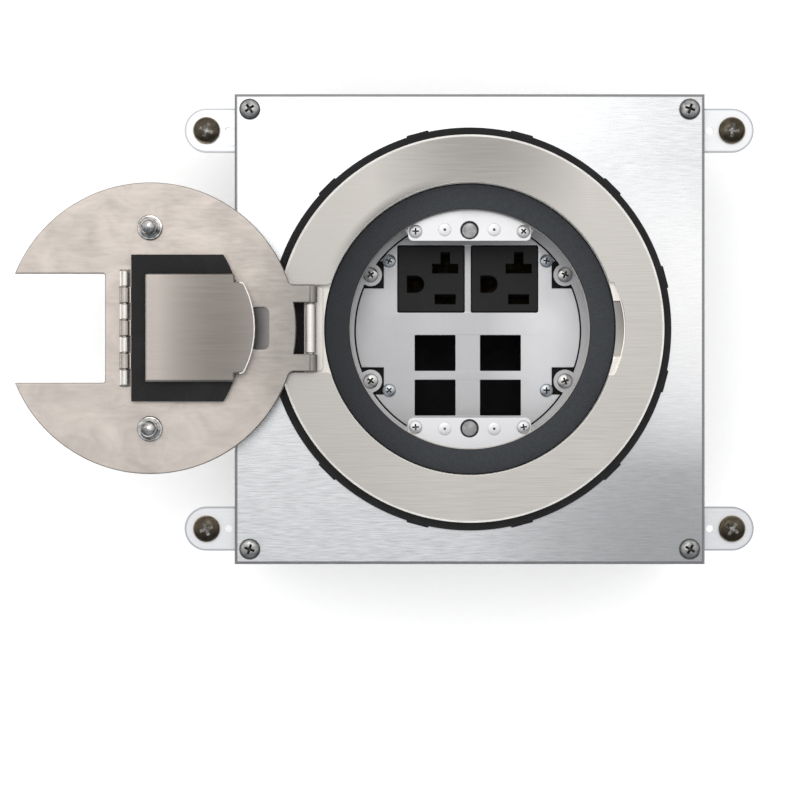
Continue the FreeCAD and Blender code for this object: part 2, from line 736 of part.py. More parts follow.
def outlet_body(side):
    x, y = side * outlet_xy[0], outlet_xy[1]
    top = plate_top + outlet_proud - outlet_face_t
    low = top - outlet_body_t
    body = rounded_box(x - outlet_body_x / 2, x + outlet_body_x / 2, y - outlet_body_y / 2,
                       y + outlet_body_y / 2, low, top, 1.5)
    for span in contact_rooms():
        body = body.cut(slot_block(x, y, span, low + outlet_floor_t, top + 1, slot_room))
    mid = (low + top) / 2
    half = terminal_r + 0.8
    for sy in (-1, 1):
        edge = y + sy * outlet_body_y / 2
        ya, yb = sorted((edge + sy, edge - sy * terminal_recess))
        for dx in (-terminal_dx, terminal_dx):
            body = body.cut(box(x + dx - half, x + dx + half, ya, yb, mid - half, mid + half))
    return body


def outlet_contacts(side):
    """Sprung brass forks, one behind each slot."""
    x, y = side * outlet_xy[0], outlet_xy[1]
    top = plate_top + outlet_proud - outlet_face_t
    low = top - outlet_body_t + outlet_floor_t
    forks = []
    for x0, x1, y0, y1 in contact_rooms():
        room = slot_room - contact_gap
        fork = slot_block(x, y, (x0, x1, y0, y1), low, top - contact_t, room)
        gap = slot_block(x, y, (x0 - slot_room, x1 + slot_room, y0 + contact_t, y1 - contact_t),
                         low + contact_t, top, room)
        forks.append(fork.cut(gap))
    return Part.makeCompound(forks)


def terminal_screws(side):
    x, y = side * outlet_xy[0], outlet_xy[1]
    z = plate_top + outlet_proud - outlet_face_t - outlet_body_t / 2
    screws = []
    for sy in (-1, 1):
        seat = y + sy * (outlet_body_y / 2 - terminal_recess)
        for dx in (-terminal_dx, terminal_dx):
            head = Part.makeCylinder(terminal_r, terminal_t, V(x + dx, seat, z), V(0, sy, 0))
            end = seat + sy * terminal_t
            slot = box(x + dx - terminal_r, x + dx + terminal_r, end - slot_w / 2, end + slot_w / 2,
                       z - slot_w / 2, z + slot_w / 2)
            screws.append(head.cut(slot))
    return Part.makeCompound(screws)


def voltage_divider():
    """Upright sheet that keeps power and data wiring apart."""
    end = wall_in - divider_relief
    wall = box(-end, end, divider_y, divider_y + sheet, sheet, carrier_low)
    riser = box(-carrier_x + 0.5, carrier_x - 0.5, divider_y, divider_y + sheet, carrier_low - 1, plate_low)
    foot = box(-end, end, divider_y - divider_foot, divider_y + sheet, sheet, 2 * sheet)
    return joined([wall, riser, foot])


def earth_screw():
    x, y = earth_xy
    corners = [V(x + earth_head_r * math.cos(math.radians(60 * i)),
                 y + earth_head_r * math.sin(math.radians(60 * i)), sheet) for i in range(7)]
    top = sheet + earth_head_t
    hexagon = Part.Face(Part.makePolygon(corners)).extrude(V(0, 0, earth_head_t))
    crown = Part.makeCone(earth_head_r * 1.6, earth_head_r * 0.86, earth_head_t, V(x, y, sheet), UP)
    washer = cyl(x, y, earth_head_r + 1.0, sheet, sheet + earth_washer_t)
    shank = cyl(x, y, earth_shank_r, sheet * 0.1, sheet * 1.1)
    slot = box(x - earth_head_r, x + earth_head_r, y - slot_w / 2, y + slot_w / 2, top - slot_w, top + 1)
    return joined([hexagon.common(crown), washer, shank]).cut(slot)


def screws_at(places, seat, *shape):
    """The same screw at each place, each stopped at its own turn."""
    model = pan_screw(*shape)
    turns = (12, 40, 65, 28)
    return Part.makeCompound([placed(model, x, y, seat, turn) for (x, y), turn in zip(places, turns)])


def build():
    ear_seat = cover_top - lip_depth - ear_gap_below_lip
    save("box_shell", box_shell())
    save("cover_plate", cover_plate())
    save("cover_screws", screws_at(corners_of((cover_screw_xy, cover_screw_xy)), cover_top,
                                   cover_screw_head_r, cover_screw_shank_r, cover_screw_len, 0.0, True))
    names = {(-1, 1): "ear_upper_left", (-1, -1): "ear_lower_left",
             (1, 1): "ear_upper_right", (1, -1): "ear_lower_right"}
    rivets = []
    for (sx, sy), name in names.items():
        save(name, ear(sx, sy))
        for dy in (-ear_rivet_dy, ear_rivet_dy):
            rivets.append(rivet_x(sx, sy * ear_y + dy, ear_rivet_z()))
    save("ear_rivets", Part.makeCompound(rivets))
    save("ear_screws", screws_at(corners_of((ear_screw_x, ear_y)), ear_seat, ear_screw_head_r,
                                 ear_screw_shank_r, ear_screw_len, ear_t + part_gap, True))
    save("carpet_ring", carpet_ring())
    save("trim_ring", trim_ring())
    save("lock_ring", tube(neck_r + 0.1, lock_ring_r, rim_z - lock_ring_t, rim_z))
    save("ring_hinge_leaf", ring_hinge_leaf())
    save("lid_gasket", tube(foam_r_in, recess_r - foam_gap, ledge_top, ledge_top + foam_t))
    save("well_sleeve", well_sleeve())
    save("well_foot", well_foot())
    save("catch_tabs", catch_tabs())
    for side, name in ((1, "upper"), (-1, "lower")):
        save("catch_plate_" + name, catch_plate(side))
        save("magnet_bracket_" + name, magnet_bracket(side))
        save("catch_magnet_" + name, cyl(0, side * stud_y, magnet_r, catch_low - magnet_t, catch_low))
    save("catch_rivets", catch_rivets())
    save("catch_screws", screws_at(corners_of(catch_screw_xy), ledge_low, catch_screw_r,
                                   catch_shank_r, small_screw_len))
    save("device_plate", device_plate())
    save("device_plate_screws", screws_at(corners_of(plate_screw_xy, plate_screw_lift), plate_top,
                                          plate_screw_r, catch_shank_r, small_screw_len))
    save("lug_screws", screws_at(corners_of(lug_xy, lug_lift), plate_top, lug_screw_r, lug_shank_r,
                                 small_screw_len))
    for side, name in ((-1, "left"), (1, "right")):
        save("carrier_" + name, carrier(side))
        save("outlet_face_" + name, outlet_face(side))
        save("outlet_body_" + name, outlet_body(side))
        save("outlet_contacts_" + name, outlet_contacts(side))
        save("terminal_screws_" + name, terminal_screws(side))
    save("voltage_divider", voltage_divider())
    save("earth_screw", earth_screw())
    save("lid_plate", lid_plate())
    save("latch_studs", latch_studs())
    save("lid_hinge_pin", cyl_y(-hinge_reach, hinge_z, hinge_pin_r, -lid_tab_y[1], lid_tab_y[1]))
    save("flap_hinge_knuckles", flap_hinge_knuckles())
    save("flap_hinge_pin", cyl_y(flap_x, flap_z, flap_pin_r, -flap_barrel / 2, flap_barrel / 2))
    save("flap_backing", flap_backing())
    save("flap_gasket", flap_gasket())
    save("flap_plate", flap_plate())


build()
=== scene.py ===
import json
import math

import bmesh
import bpy
from mathutils import Matrix, Vector


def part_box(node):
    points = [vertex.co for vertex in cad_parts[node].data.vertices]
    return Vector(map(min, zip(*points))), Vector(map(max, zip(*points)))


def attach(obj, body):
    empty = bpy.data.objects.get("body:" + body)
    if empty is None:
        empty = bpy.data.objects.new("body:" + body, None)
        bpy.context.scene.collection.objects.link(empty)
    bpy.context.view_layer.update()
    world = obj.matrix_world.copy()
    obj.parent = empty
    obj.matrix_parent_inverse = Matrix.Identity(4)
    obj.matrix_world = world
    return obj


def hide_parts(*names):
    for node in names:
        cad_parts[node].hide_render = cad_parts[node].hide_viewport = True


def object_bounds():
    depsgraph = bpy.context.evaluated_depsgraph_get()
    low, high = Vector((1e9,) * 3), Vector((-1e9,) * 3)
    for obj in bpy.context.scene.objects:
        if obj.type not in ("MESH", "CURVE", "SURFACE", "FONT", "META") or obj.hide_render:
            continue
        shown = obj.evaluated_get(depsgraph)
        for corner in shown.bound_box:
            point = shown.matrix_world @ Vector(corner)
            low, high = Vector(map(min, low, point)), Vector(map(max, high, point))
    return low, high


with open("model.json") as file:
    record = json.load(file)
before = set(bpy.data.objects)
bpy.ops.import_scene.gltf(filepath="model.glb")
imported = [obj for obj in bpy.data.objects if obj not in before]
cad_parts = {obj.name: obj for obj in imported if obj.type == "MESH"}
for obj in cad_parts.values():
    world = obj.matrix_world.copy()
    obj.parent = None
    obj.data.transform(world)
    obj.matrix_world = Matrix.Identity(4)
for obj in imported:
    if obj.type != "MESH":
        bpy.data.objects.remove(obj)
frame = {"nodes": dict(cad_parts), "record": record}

bl_info = {
    "name": "Floor socket box",
    "version": (1, 0, 0),
    "blender": (4, 5, 0),
    "location": "View3D > Sidebar > Floor box",
    "description": "Plates, rings, screws, outlets and finishes of a floor socket box with a round lid",
    "category": "Add Mesh",
}

MM = 0.001
CAD_LOW, CAD_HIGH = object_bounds()


def low(node):
    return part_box(node)[0]


def high(node):
    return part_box(node)[1]


def centre(node):
    """Middle of a node's own box, seen from above."""
    a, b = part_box(node)
    return (a.x + b.x) / 2, (a.y + b.y) / 2


def joint(name):
    return next(j for j in frame["record"]["behaviour"]["joints"] if j["name"] == name)


# Sizes that the frame doesn't tell by itself
SEAT_DROP = 3.3 * MM
NECK_R = 59.0 * MM
HINGE_NOTCH_HALF = 17.25 * MM
NOTCH_END_R = 3.2 * MM
TAB_FILLET_R = 2.5 * MM
FINGER_R = 61.0 * MM
FINGER_BEND = 39.0 * MM
FINGER_HALF = 18.3 * MM
RING_SCOOP_BEND = FINGER_BEND - 0.4 * MM
RING_SCOOP_HALF = 11 * MM
RING_SCOOP_DROP = 4.6 * MM
CARPET_NUBS = 12
RIM_SHARE = 0.35
CATCH_HOLE_R = 3.65 * MM
CATCH_RIVET_R = 2.64 * MM
LUG_NOTCH_X = 34.2 * MM
LUG_NOTCH_HALF = 5.5 * MM
LUG_SCREW_R = 3.1 * MM
COVER_SCREW_R = 4.15 * MM
EAR_SCREW_R = 5.35 * MM
DATA_X, DATA_W, DATA_H = 13.3 * MM, 16.5 * MM, 14.5 * MM
DATA_ROWS = (-8.9 * MM, -27.1 * MM)
OUTLET_SHOULDER = 0.5 * MM
LID_THICK = 3 * MM
SEAL_LIFT = 2 * MM
LID_TAB_Y = (10.0 * MM, 16.9 * MM)
NOTCH_START = 17.6 * MM
LID_SCOOP_HALF = 8.4 * MM
FLAP_AXIS = 9.65 * MM
FLAP_KNUCKLES = 7
KNUCKLE_GAP = 0.3 * MM
LEAF_KNUCKLE_R = 2.3 * MM
LID_KNUCKLE_R = 2.65 * MM
LID_PIN_R = 1.2 * MM
FLAP_KNUCKLE_R = 2.0 * MM
FIXED_KNUCKLE_R = 1.5 * MM
FLAP_PIN_R = 0.8 * MM
BUMP_HALF = 17.9 * MM
GASKET_REACH = 56.0 * MM
CUT_EDGE = 0.01 * MM
CUT_ABOVE = 2 * MM
CORNER_STEPS = 8
SMOOTH_ANGLE = 32
FACES_UP = 0.97
SHEET_EDGE = 0.15 * MM
EAR_EDGE = 0.4 * MM

# Levels and centres worked out from the frame
TRIM_TOP = high("trim_ring").z
TRIM_LOW = high("carpet_ring").z
HINGE = Vector(joint("lid_hinge")["pos_m"])
FLAP_HINGE = Vector(joint("flap_hinge")["pos_m"])
LID_X = 2 * HINGE.x
LID_FACE = low("flap_gasket").z - SEAL_LIFT
LID_LOW = LID_FACE - LID_THICK
PLATE_TOP = high("device_plate").z
PLATE_LOW = low("device_plate").z
LEDGE_LOW = high("catch_plate_upper").z
LID_R = high("lid_plate").y
FOAM_R = high("lid_gasket").x
STUD_Y = centre("catch_magnet_upper")[1]
FLAP_MIDDLE = FLAP_HINGE.x - FLAP_AXIS
OUTLET_HALF = (high("outlet_face_left").y - low("outlet_face_left").y) / 2 - OUTLET_SHOULDER

# Slots of an outlet, in millimetres from its middle
TEE_SLOT = ((0.6, 2.4), (10.9, 2.4), (10.9, 6.0), (7.6, 6.0),
            (7.6, 10.8), (4.0, 10.8), (4.0, 6.0), (0.6, 6.0))
STRAIGHT_SLOT = ((1.6, -10.2), (9.9, -10.2), (9.9, -6.4), (1.6, -6.4))
EARTH_SLOT = (-9.7, -6.3, -5.5, 1.2)

CAMERA_PLACE = (-0.02757, -0.02804, 0.9969)
CAMERA_LENS = 103.3


class FloorBoxSizes(bpy.types.PropertyGroup):
    """Sizes of the dressed pieces"""
    trim_radius: bpy.props.FloatProperty(
        name="Trim radius", description="Outer radius of the trim ring",
        default=high("trim_ring").x, unit="LENGTH")
    recess_radius: bpy.props.FloatProperty(
        name="Recess radius", description="Inner radius of the trim ring's flange",
        default=57.5 * MM, unit="LENGTH")
    foam_bore: bpy.props.FloatProperty(
        name="Foam bore", description="Inner radius of the foam ring",
        default=47.5 * MM, unit="LENGTH")
    ledge_bore: bpy.props.FloatProperty(
        name="Ledge bore", description="Inner radius of the ledge under the foam ring",
        default=47.1 * MM, unit="LENGTH")
    lid_radius: bpy.props.FloatProperty(
        name="Lid radius", description="Radius of the lid", default=LID_R, unit="LENGTH")
    edge: bpy.props.FloatProperty(
        name="Edge break", description="Width of the broken edges of the knuckles and the lid's pin",
        default=0.35 * MM, unit="LENGTH")
    notch_half: bpy.props.FloatProperty(
        name="Cable notch", description="Half width of the lid's cable notch",
        default=21.3 * MM, unit="LENGTH")
    steps: bpy.props.IntProperty(
        name="Round steps", description="Straight steps in a full circle of a large ring",
        default=256, min=32, max=512)


class FloorBoxColours(bpy.types.PropertyGroup):
    """Colours of the finishes"""
    stainless: bpy.props.FloatVectorProperty(
        name="Stainless", description="Brushed stainless of the lid and trim ring",
        default=(0.68, 0.65, 0.61), subtype="COLOR", size=3)
    lid: bpy.props.FloatVectorProperty(
        name="Lid underside", description="Warm satin stainless of the lid's inner face",
        default=(0.80, 0.725, 0.665), subtype="COLOR", size=3)
    galvanised: bpy.props.FloatVectorProperty(
        name="Galvanised", description="Brushed sheet of the cover and box",
        default=(0.80, 0.81, 0.825), subtype="COLOR", size=3)
    satin: bpy.props.FloatVectorProperty(
        name="Satin plate", description="Satin silver of the device plate",
        default=(0.60, 0.60, 0.61), subtype="COLOR", size=3)
    foam: bpy.props.FloatVectorProperty(
        name="Foam", description="Dark grey foam under the lid",
        default=(0.028, 0.031, 0.036), subtype="COLOR", size=3)
    rubber: bpy.props.FloatVectorProperty(
        name="Rubber", description="Black rubber of the carpet ring and flap seal",
        default=(0.009, 0.009, 0.010), subtype="COLOR", size=3)
    plastic: bpy.props.FloatVectorProperty(
        name="Outlet plastic", description="Black moulded plastic of the outlets",
        default=(0.0042, 0.0042, 0.0045), subtype="COLOR", size=3)
    bronze: bpy.props.FloatVectorProperty(
        name="Ear screws", description="Dark bronze coat of the ear screws",
        default=(0.24, 0.20, 0.145), subtype="COLOR", size=3)
    floor: bpy.props.FloatVectorProperty(
        name="Floor", description="Pale studio floor", default=(0.98, 0.98, 0.98),
        subtype="COLOR", size=3)


def sizes():
    return bpy.context.scene.floor_box_sizes


def colours():
    return bpy.context.scene.floor_box_colours


# Parts of a material

def new_material(name, metallic=0.0, roughness=0.5, **inputs):
    name = "floor box " + name.replace("_", " ")
    mat = bpy.data.materials.get(name)
    if mat:
        return mat, None, None
    mat = bpy.data.materials.new(name)
    mat.use_nodes = True
    tree = mat.node_tree
    shader = tree.nodes["Principled BSDF"]
    shader.inputs["Metallic"].default_value = metallic
    shader.inputs["Roughness"].default_value = roughness
    for key, value in inputs.items():
        shader.inputs[key.replace("_", " ")].default_value = value
    return mat, tree, shader


def place_on(tree, scale=(1, 1, 1)):
    """Object coordinates, in metres, scaled along each axis."""
    where = tree.nodes.new("ShaderNodeTexCoord")
    mapping = tree.nodes.new("ShaderNodeMapping")
    mapping.inputs["Scale"].default_value = scale
    tree.links.new(where.outputs["Object"], mapping.inputs["Vector"])
    return mapping.outputs["Vector"]


def noise(tree, vector, scale, detail=3.0, roughness=0.5, distortion=0.0):
    node = tree.nodes.new("ShaderNodeTexNoise")
    node.inputs["Scale"].default_value = scale
    node.inputs["Detail"].default_value = detail
    node.inputs["Roughness"].default_value = roughness
    node.inputs["Distortion"].default_value = distortion
    tree.links.new(vector, node.inputs["Vector"])
    return node.outputs["Fac"]


def spread(tree, value, low_in, high_in, low_out=0.0, high_out=1.0):
    node = tree.nodes.new("ShaderNodeMapRange")
    node.inputs["From Min"].default_value = low_in
    node.inputs["From Max"].default_value = high_in
    node.inputs["To Min"].default_value = low_out
    node.inputs["To Max"].default_value = high_out
    tree.links.new(value, node.inputs["Value"])
    return node.outputs["Result"]


def calculate(tree, operation, a, b):
    node = tree.nodes.new("ShaderNodeMath")
    node.operation = operation
    for socket, value in zip(node.inputs, (a, b)):
        if isinstance(value, (int, float)):
            socket.default_value = value
        else:
            tree.links.new(value, socket)
    return node.outputs["Value"]


def weighed(tree, a, share, b):
    """The share of the first value and the rest of the second."""
    return calculate(tree, "ADD", calculate(tree, "MULTIPLY", a, share),
                     calculate(tree, "MULTIPLY", b, 1 - share))


def blend_colour(tree, factor, a, b):
    node = tree.nodes.new("ShaderNodeMix")
    node.data_type = "RGBA"
    tree.links.new(factor, node.inputs["Factor"])
    for socket, value in ((node.inputs[6], a), (node.inputs[7], b)):
        if hasattr(value, "is_linked"):
            tree.links.new(value, socket)
        else:
            socket.default_value = (*value[:3], 1.0)
    return node.outputs[2]


def add_bump(tree, shader, height, strength, distance):
    node = tree.nodes.new("ShaderNodeBump")
    node.inputs["Strength"].default_value = strength
    node.inputs["Distance"].default_value = distance
    tree.links.new(height, node.inputs["Height"])
    tree.links.new(node.outputs["Normal"], shader.inputs["Normal"])


def shade(colour, factor):
    return tuple(min(1.0, c * factor) for c in colour[:3])


def parts_of(tree, vector):
    """X, Y and Z of a vector."""
    parts = tree.nodes.new("ShaderNodeSeparateXYZ")
    tree.links.new(vector, parts.inputs["Vector"])
    return [parts.outputs[axis] for axis in "XYZ"]


def away_from_axes(tree):
    """Distances from the planes through the box's middle, along X and Y, and the height."""
    x, y, z = parts_of(tree, place_on(tree))
    return calculate(tree, "ABSOLUTE", x, 0.0), calculate(tree, "ABSOLUTE", y, 0.0), z


def near(tree, axis, middle, half):
    """1 on the plane where the axis (0 for X, 1 for Y) has that value, falling to 0 at the half width."""
    place = parts_of(tree, place_on(tree))[axis]
    off = calculate(tree, "DIVIDE", calculate(tree, "SUBTRACT", place, middle), half)
    inside = calculate(tree, "SUBTRACT", 1.0, calculate(tree, "MULTIPLY", off, off))
    return calculate(tree, "MAXIMUM", inside, 0.0)


def patch(tree, along_x, along_y, amount=1.0):
    """Soft patch round a place; along each axis it has a middle and a half width."""
    both = calculate(tree, "MULTIPLY", near(tree, 0, *along_x), near(tree, 1, *along_y))
    return calculate(tree, "MULTIPLY", both, amount)


def brushed(name, colour, roughness, grain, blotch, dark, streak=(55, 2300, 2300), painted_shade_patch=None):
    """Metal brushed along X: fine streaks, soft blotches and, if wanted, a patch of painted shade standing
    in for a dull reflection.
    """
    mat, tree, shader = new_material(name, 1.0, roughness)
    if tree is None:
        return mat
    fine = noise(tree, place_on(tree, streak), 1.0, 2.0, 0.5)
    wider = (streak[0] * 0.6, streak[1] * 0.4, streak[2] * 0.4)
    coarse = noise(tree, place_on(tree, wider), 1.0, 2.0)
    lines = weighed(tree, fine, 0.84, coarse)
    tone = spread(tree, lines, 0.5 - 0.16 / grain, 0.5 + 0.16 / grain)
    toned = blend_colour(tree, tone, shade(colour, dark), shade(colour, 1.12))
    if blotch:
        cloud = noise(tree, place_on(tree, (58, 74, 60)), 1.0, 5.0, 0.62, 0.7)
        cloud = spread(tree, cloud, 0.35, 0.68, 0.0, blotch)
        toned = blend_colour(tree, cloud, toned, shade(colour, 0.62))
    # Painted shade: a darker patch stands in for a dull reflection in the brushed metal.
    if painted_shade_patch:
        toned = blend_colour(tree, patch(tree, *painted_shade_patch), toned, shade(colour, 0.45))
    tree.links.new(toned, shader.inputs["Base Color"])
    rough = spread(tree, lines, 0.3, 0.7, roughness - 0.07, roughness + 0.09)
    tree.links.new(rough, shader.inputs["Roughness"])
    add_bump(tree, shader, lines, 0.22 * grain, 0.05 * MM)
    return mat


def stainless_ring():
    # Painted shade: a darker band at the top, a darker strip on the left and a darker band at the upper
    # left of the recess.
    mat = brushed("stainless_ring", colours().stainless, 0.46, grain=0.7, blotch=0.06, dark=0.84,
                  painted_shade_patch=((4 * MM, 42 * MM), (72 * MM, 36 * MM), 0.80))
    laid_over(mat, "left", lambda tree: painted_left_shade(tree, 0.20), shade(colours().stainless, 0.45))
    return laid_over(mat, "inner edge", inner_shade, shade(colours().stainless, 0.30))


def inner_shade(tree):
    """Painted shade: band along the upper left of the recess, next to the foam."""
    flat = tree.nodes.new("ShaderNodeVectorMath")
    flat.operation = "MULTIPLY"
    flat.inputs[1].default_value = (1, 1, 0)
    tree.links.new(place_on(tree), flat.inputs[0])
    away = tree.nodes.new("ShaderNodeVectorMath")
    away.operation = "LENGTH"
    tree.links.new(flat.outputs["Vector"], away.inputs[0])
    start = sizes().recess_radius
    band = spread(tree, away.outputs["Value"], start, start + 3.4 * MM, 1.0, 0.0)
    return calculate(tree, "MULTIPLY", band, patch(tree, (-34 * MM, 28 * MM), (48 * MM, 30 * MM), 0.8))


def stainless_lid():
    # Painted shade: a duller patch and a greyer end towards the hinge.
    mat = brushed("stainless_lid", colours().lid, 0.50, grain=0.4, blotch=0.60, dark=0.88,
                  streak=(150, 900, 900), painted_shade_patch=((-74 * MM, 30 * MM), (0.0, 60 * MM), 0.30))
    return laid_over(mat, "hinge side", painted_hinge_shade, (0.33, 0.325, 0.295))


def painted_hinge_shade(tree):
    """Painted shade: the lid's end at the hinge, painted greyer where it sees the greyer part of the room.
    """
    return patch(tree, (-60 * MM, 26 * MM), (0.0, 42 * MM), 0.75)


def stainless_leaf_lit():
    # Painted light: a lighter copy of the ring's stainless for the leaf and the hinge notch's floor,
    # against their shade in the notch.
    return brushed("stainless_leaf_lit", shade(colours().stainless, 1.26), 0.46, grain=0.7, blotch=0.06,
                   dark=0.88)


def stainless_flap_shaded():
    # Painted shade: the lid's stainless made darker, with a darker patch towards the flap's tip.
    return brushed("stainless_flap_shaded", shade(colours().lid, 0.70), 0.40, grain=0.6, blotch=0.10, dark=0.84,
                   painted_shade_patch=((FLAP_HINGE.x + 38 * MM, 25 * MM), (0.0, 70 * MM), 1.0))


def painted_edge_highlight(name="painted_edge_highlight", factor=1.0):
    """Painted highlight: a broken edge painted bright, as if it caught the light from all round."""
    mat, tree, shader = new_material(name, 0.35, 0.35)
    if tree is None:
        return mat
    highlight_noise = noise(tree, place_on(tree), 160.0, 4.0, 0.6)
    toned = blend_colour(tree, spread(tree, highlight_noise, 0.35, 0.7), shade((0.96, 0.94, 0.90), factor),
                         shade((0.80, 0.77, 0.73), factor))
    tree.links.new(toned, shader.inputs["Base Color"])
    return mat


def knuckle_steel():
    return brushed("knuckle_steel", shade(colours().lid, 0.80), 0.30, grain=0.5, blotch=0.30, dark=0.80)


def notch_shade():
    # Painted shade: a darker copy of the ring's stainless for the scoop in the finger notch, with a darker
    # patch in it.
    return brushed("notch_shade", shade(colours().stainless, 0.78), 0.42, grain=0.5, blotch=0.0, dark=0.9,
                   painted_shade_patch=((FINGER_R, 8 * MM), (14 * MM, 22 * MM), 0.8))


def lid_rim_shade():
    # Painted shade: a dark copy of the lid's stainless for its side faces.
    return polished("lid_rim_shade", shade(colours().lid, 0.42), 0.35, worn=0.8)


def stainless_outer():
    return brushed("stainless_outer", colours().stainless, 0.40, grain=0.6, blotch=0.06, dark=0.86)


def stainless_lit():
    # Painted highlight: a lighter copy of the ring's stainless for the finger notch's seat and the hinge
    # knuckles.
    return brushed("stainless_lit", shade(colours().stainless, 1.32), 0.34, grain=0.5, blotch=0.0,
                   dark=0.92)


def galvanised_cover():
    """Brushed zinc with painted light: painted shade at its lower right, a painted highlight at its right
    and painted shade along the fold of its edges.
    """
    base = colours().galvanised
    mat = brushed("galvanised_cover", base, 0.27, grain=0.8, blotch=0.10, dark=0.80,
                  streak=(150, 2900, 2900), painted_shade_patch=((84 * MM, 82 * MM), (-84 * MM, 62 * MM), 0.76))
    laid_over(mat, "glow", lambda tree: patch(tree, (96 * MM, 44 * MM), (6 * MM, 62 * MM)),
              shade(base, 1.25))
    return laid_over(mat, "fold", painted_fold_shade, shade(base, 0.30))


def painted_fold_shade(tree):
    """Mask of painted shade: 1 on the outermost millimetre of the cover plate, where it is folded down."""
    x, y = away_from_axes(tree)[:2]
    rim = high("cover_plate").x
    return spread(tree, calculate(tree, "MAXIMUM", x, y), rim - 1.3 * MM, rim - 1.0 * MM)


def painted_inside_shade(tree):
    """1 inside the box, where its sheets are painted dark as shade, and 0 on its outer faces."""
    x, y, z = away_from_axes(tree)
    below_cover = calculate(tree, "LESS_THAN", z, PLATE_LOW + 0.3 * MM)
    above_bottom = calculate(tree, "GREATER_THAN", z, 1.0 * MM)
    sideways = calculate(tree, "MAXIMUM", x, y)
    within = calculate(tree, "LESS_THAN", sideways, high("voltage_divider").x + 0.5 * MM)
    return calculate(tree, "MULTIPLY", within, calculate(tree, "MULTIPLY", below_cover, above_bottom))


def from_corners(tree, x, y, inner, outer, tongue=False):
    """0 near the four mirrored points, 1 from the outer distance on; a tongue runs on towards the box."""
    across, along = away_from_axes(tree)[:2]
    off_x = calculate(tree, "SUBTRACT", across, x)
    off_y = calculate(tree, "SUBTRACT", along, y)
    if tongue:
        off_x = calculate(tree, "MAXIMUM", off_x, 0.0)
    square = calculate(tree, "ADD", calculate(tree, "MULTIPLY", off_x, off_x),
                       calculate(tree, "MULTIPLY", off_y, off_y))
    return spread(tree, calculate(tree, "SQRT", square, 0.0), inner, outer)


def laid_over(mat, key, mask, colour):
    """Lays a colour over a finished material where the mask, made from its node tree, is 1."""
    tree = mat.node_tree
    if not tree.nodes.get(key):
        socket = tree.nodes["Principled BSDF"].inputs["Base Color"]
        toned = blend_colour(tree, mask(tree), socket.links[0].from_socket, colour)
        toned.node.name = key
        tree.links.new(toned, socket)
    return mat


def painted_rim(mat, x, y, inner, outer, colour, tongue=False):
    """Lays a rim of painted light over a finished material, round the four mirrored points; a darker
    colour paints shade, a lighter one a highlight.
    """
    return laid_over(mat, "rim", lambda tree: from_corners(tree, x, y, inner, outer, tongue), colour)


def painted_left_shade(tree, amount):
    """Painted shade on a strip to the left of the ring's middle, which sees a darker part of the room."""
    return calculate(tree, "MULTIPLY", near(tree, 0, -68 * MM, 52 * MM), amount)


def galvanised_ear():
    # Painted light: lighter than the cover's zinc against the shade of the cover, with a rim of painted
    # shade along each ear's outline.
    a, b = low("ear_upper_right"), high("ear_upper_right")
    half = (b.y - a.y) / 2
    mat = brushed("galvanised_ear", (0.91, 0.925, 0.95), 0.40, grain=0.5, blotch=0.0, dark=0.95)
    return painted_rim(mat, b.x - half, (a.y + b.y) / 2, half - 0.9 * MM, half - 0.4 * MM,
                  (0.50, 0.52, 0.55), tongue=True)


def galvanised_sheet():
    """Zinc sheet with faint spangle, for the box and its inner sheets; painted dark as shade inside the
    box.
    """
    mat, tree, shader = new_material("galvanised_sheet", 1.0, 0.42)
    if tree is None:
        return mat
    base = shade(colours().galvanised, 0.70)
    cells = tree.nodes.new("ShaderNodeTexVoronoi")
    cells.inputs["Scale"].default_value = 210.0
    tree.links.new(place_on(tree), cells.inputs["Vector"])
    grey = tree.nodes.new("ShaderNodeSeparateColor")
    tree.links.new(cells.outputs["Color"], grey.inputs["Color"])
    cloud = noise(tree, place_on(tree), 26.0, 4.0, 0.6)
    mixed = weighed(tree, grey.outputs["Red"], 0.3, cloud)
    toned = blend_colour(tree, spread(tree, mixed, 0.2, 0.8), shade(base, 0.76), shade(base, 1.08))
    # Painted shade: the sheets turn nearly black inside the box.
    toned = blend_colour(tree, painted_inside_shade(tree), toned, shade(base, 0.03))
    tree.links.new(toned, shader.inputs["Base Color"])
    tree.links.new(spread(tree, mixed, 0.1, 0.9, 0.34, 0.52), shader.inputs["Roughness"])
    add_bump(tree, shader, mixed, 0.08, 0.04 * MM)
    return mat


def satin_silver(name, factor, painted_highlight=0.0):
    """Smooth silver face of the device plate and catch plates, if wanted with a painted highlight to the
    right.
    """
    mat, tree, shader = new_material(name, 0.85, 0.40)
    if tree is None:
        return mat
    base = shade(colours().satin, factor)
    cloud = noise(tree, place_on(tree), 60.0, 3.0)
    speck = noise(tree, place_on(tree), 2600.0, 2.0)
    both = weighed(tree, cloud, 0.6, speck)
    toned = blend_colour(tree, spread(tree, both, 0.3, 0.7), shade(base, 0.92), shade(base, 1.06))
    if painted_highlight:
        glow = patch(tree, (42 * MM, 34 * MM), (0.0, 50 * MM))
        toned = blend_colour(tree, glow, toned, shade(base, 1.0 + painted_highlight))
    tree.links.new(toned, shader.inputs["Base Color"])
    tree.links.new(spread(tree, cloud, 0.3, 0.7, 0.34, 0.46), shader.inputs["Roughness"])
    add_bump(tree, shader, speck, 0.10, 0.02 * MM)
    return mat


def catch_silver():
    return satin_silver("catch_silver", 1.36)


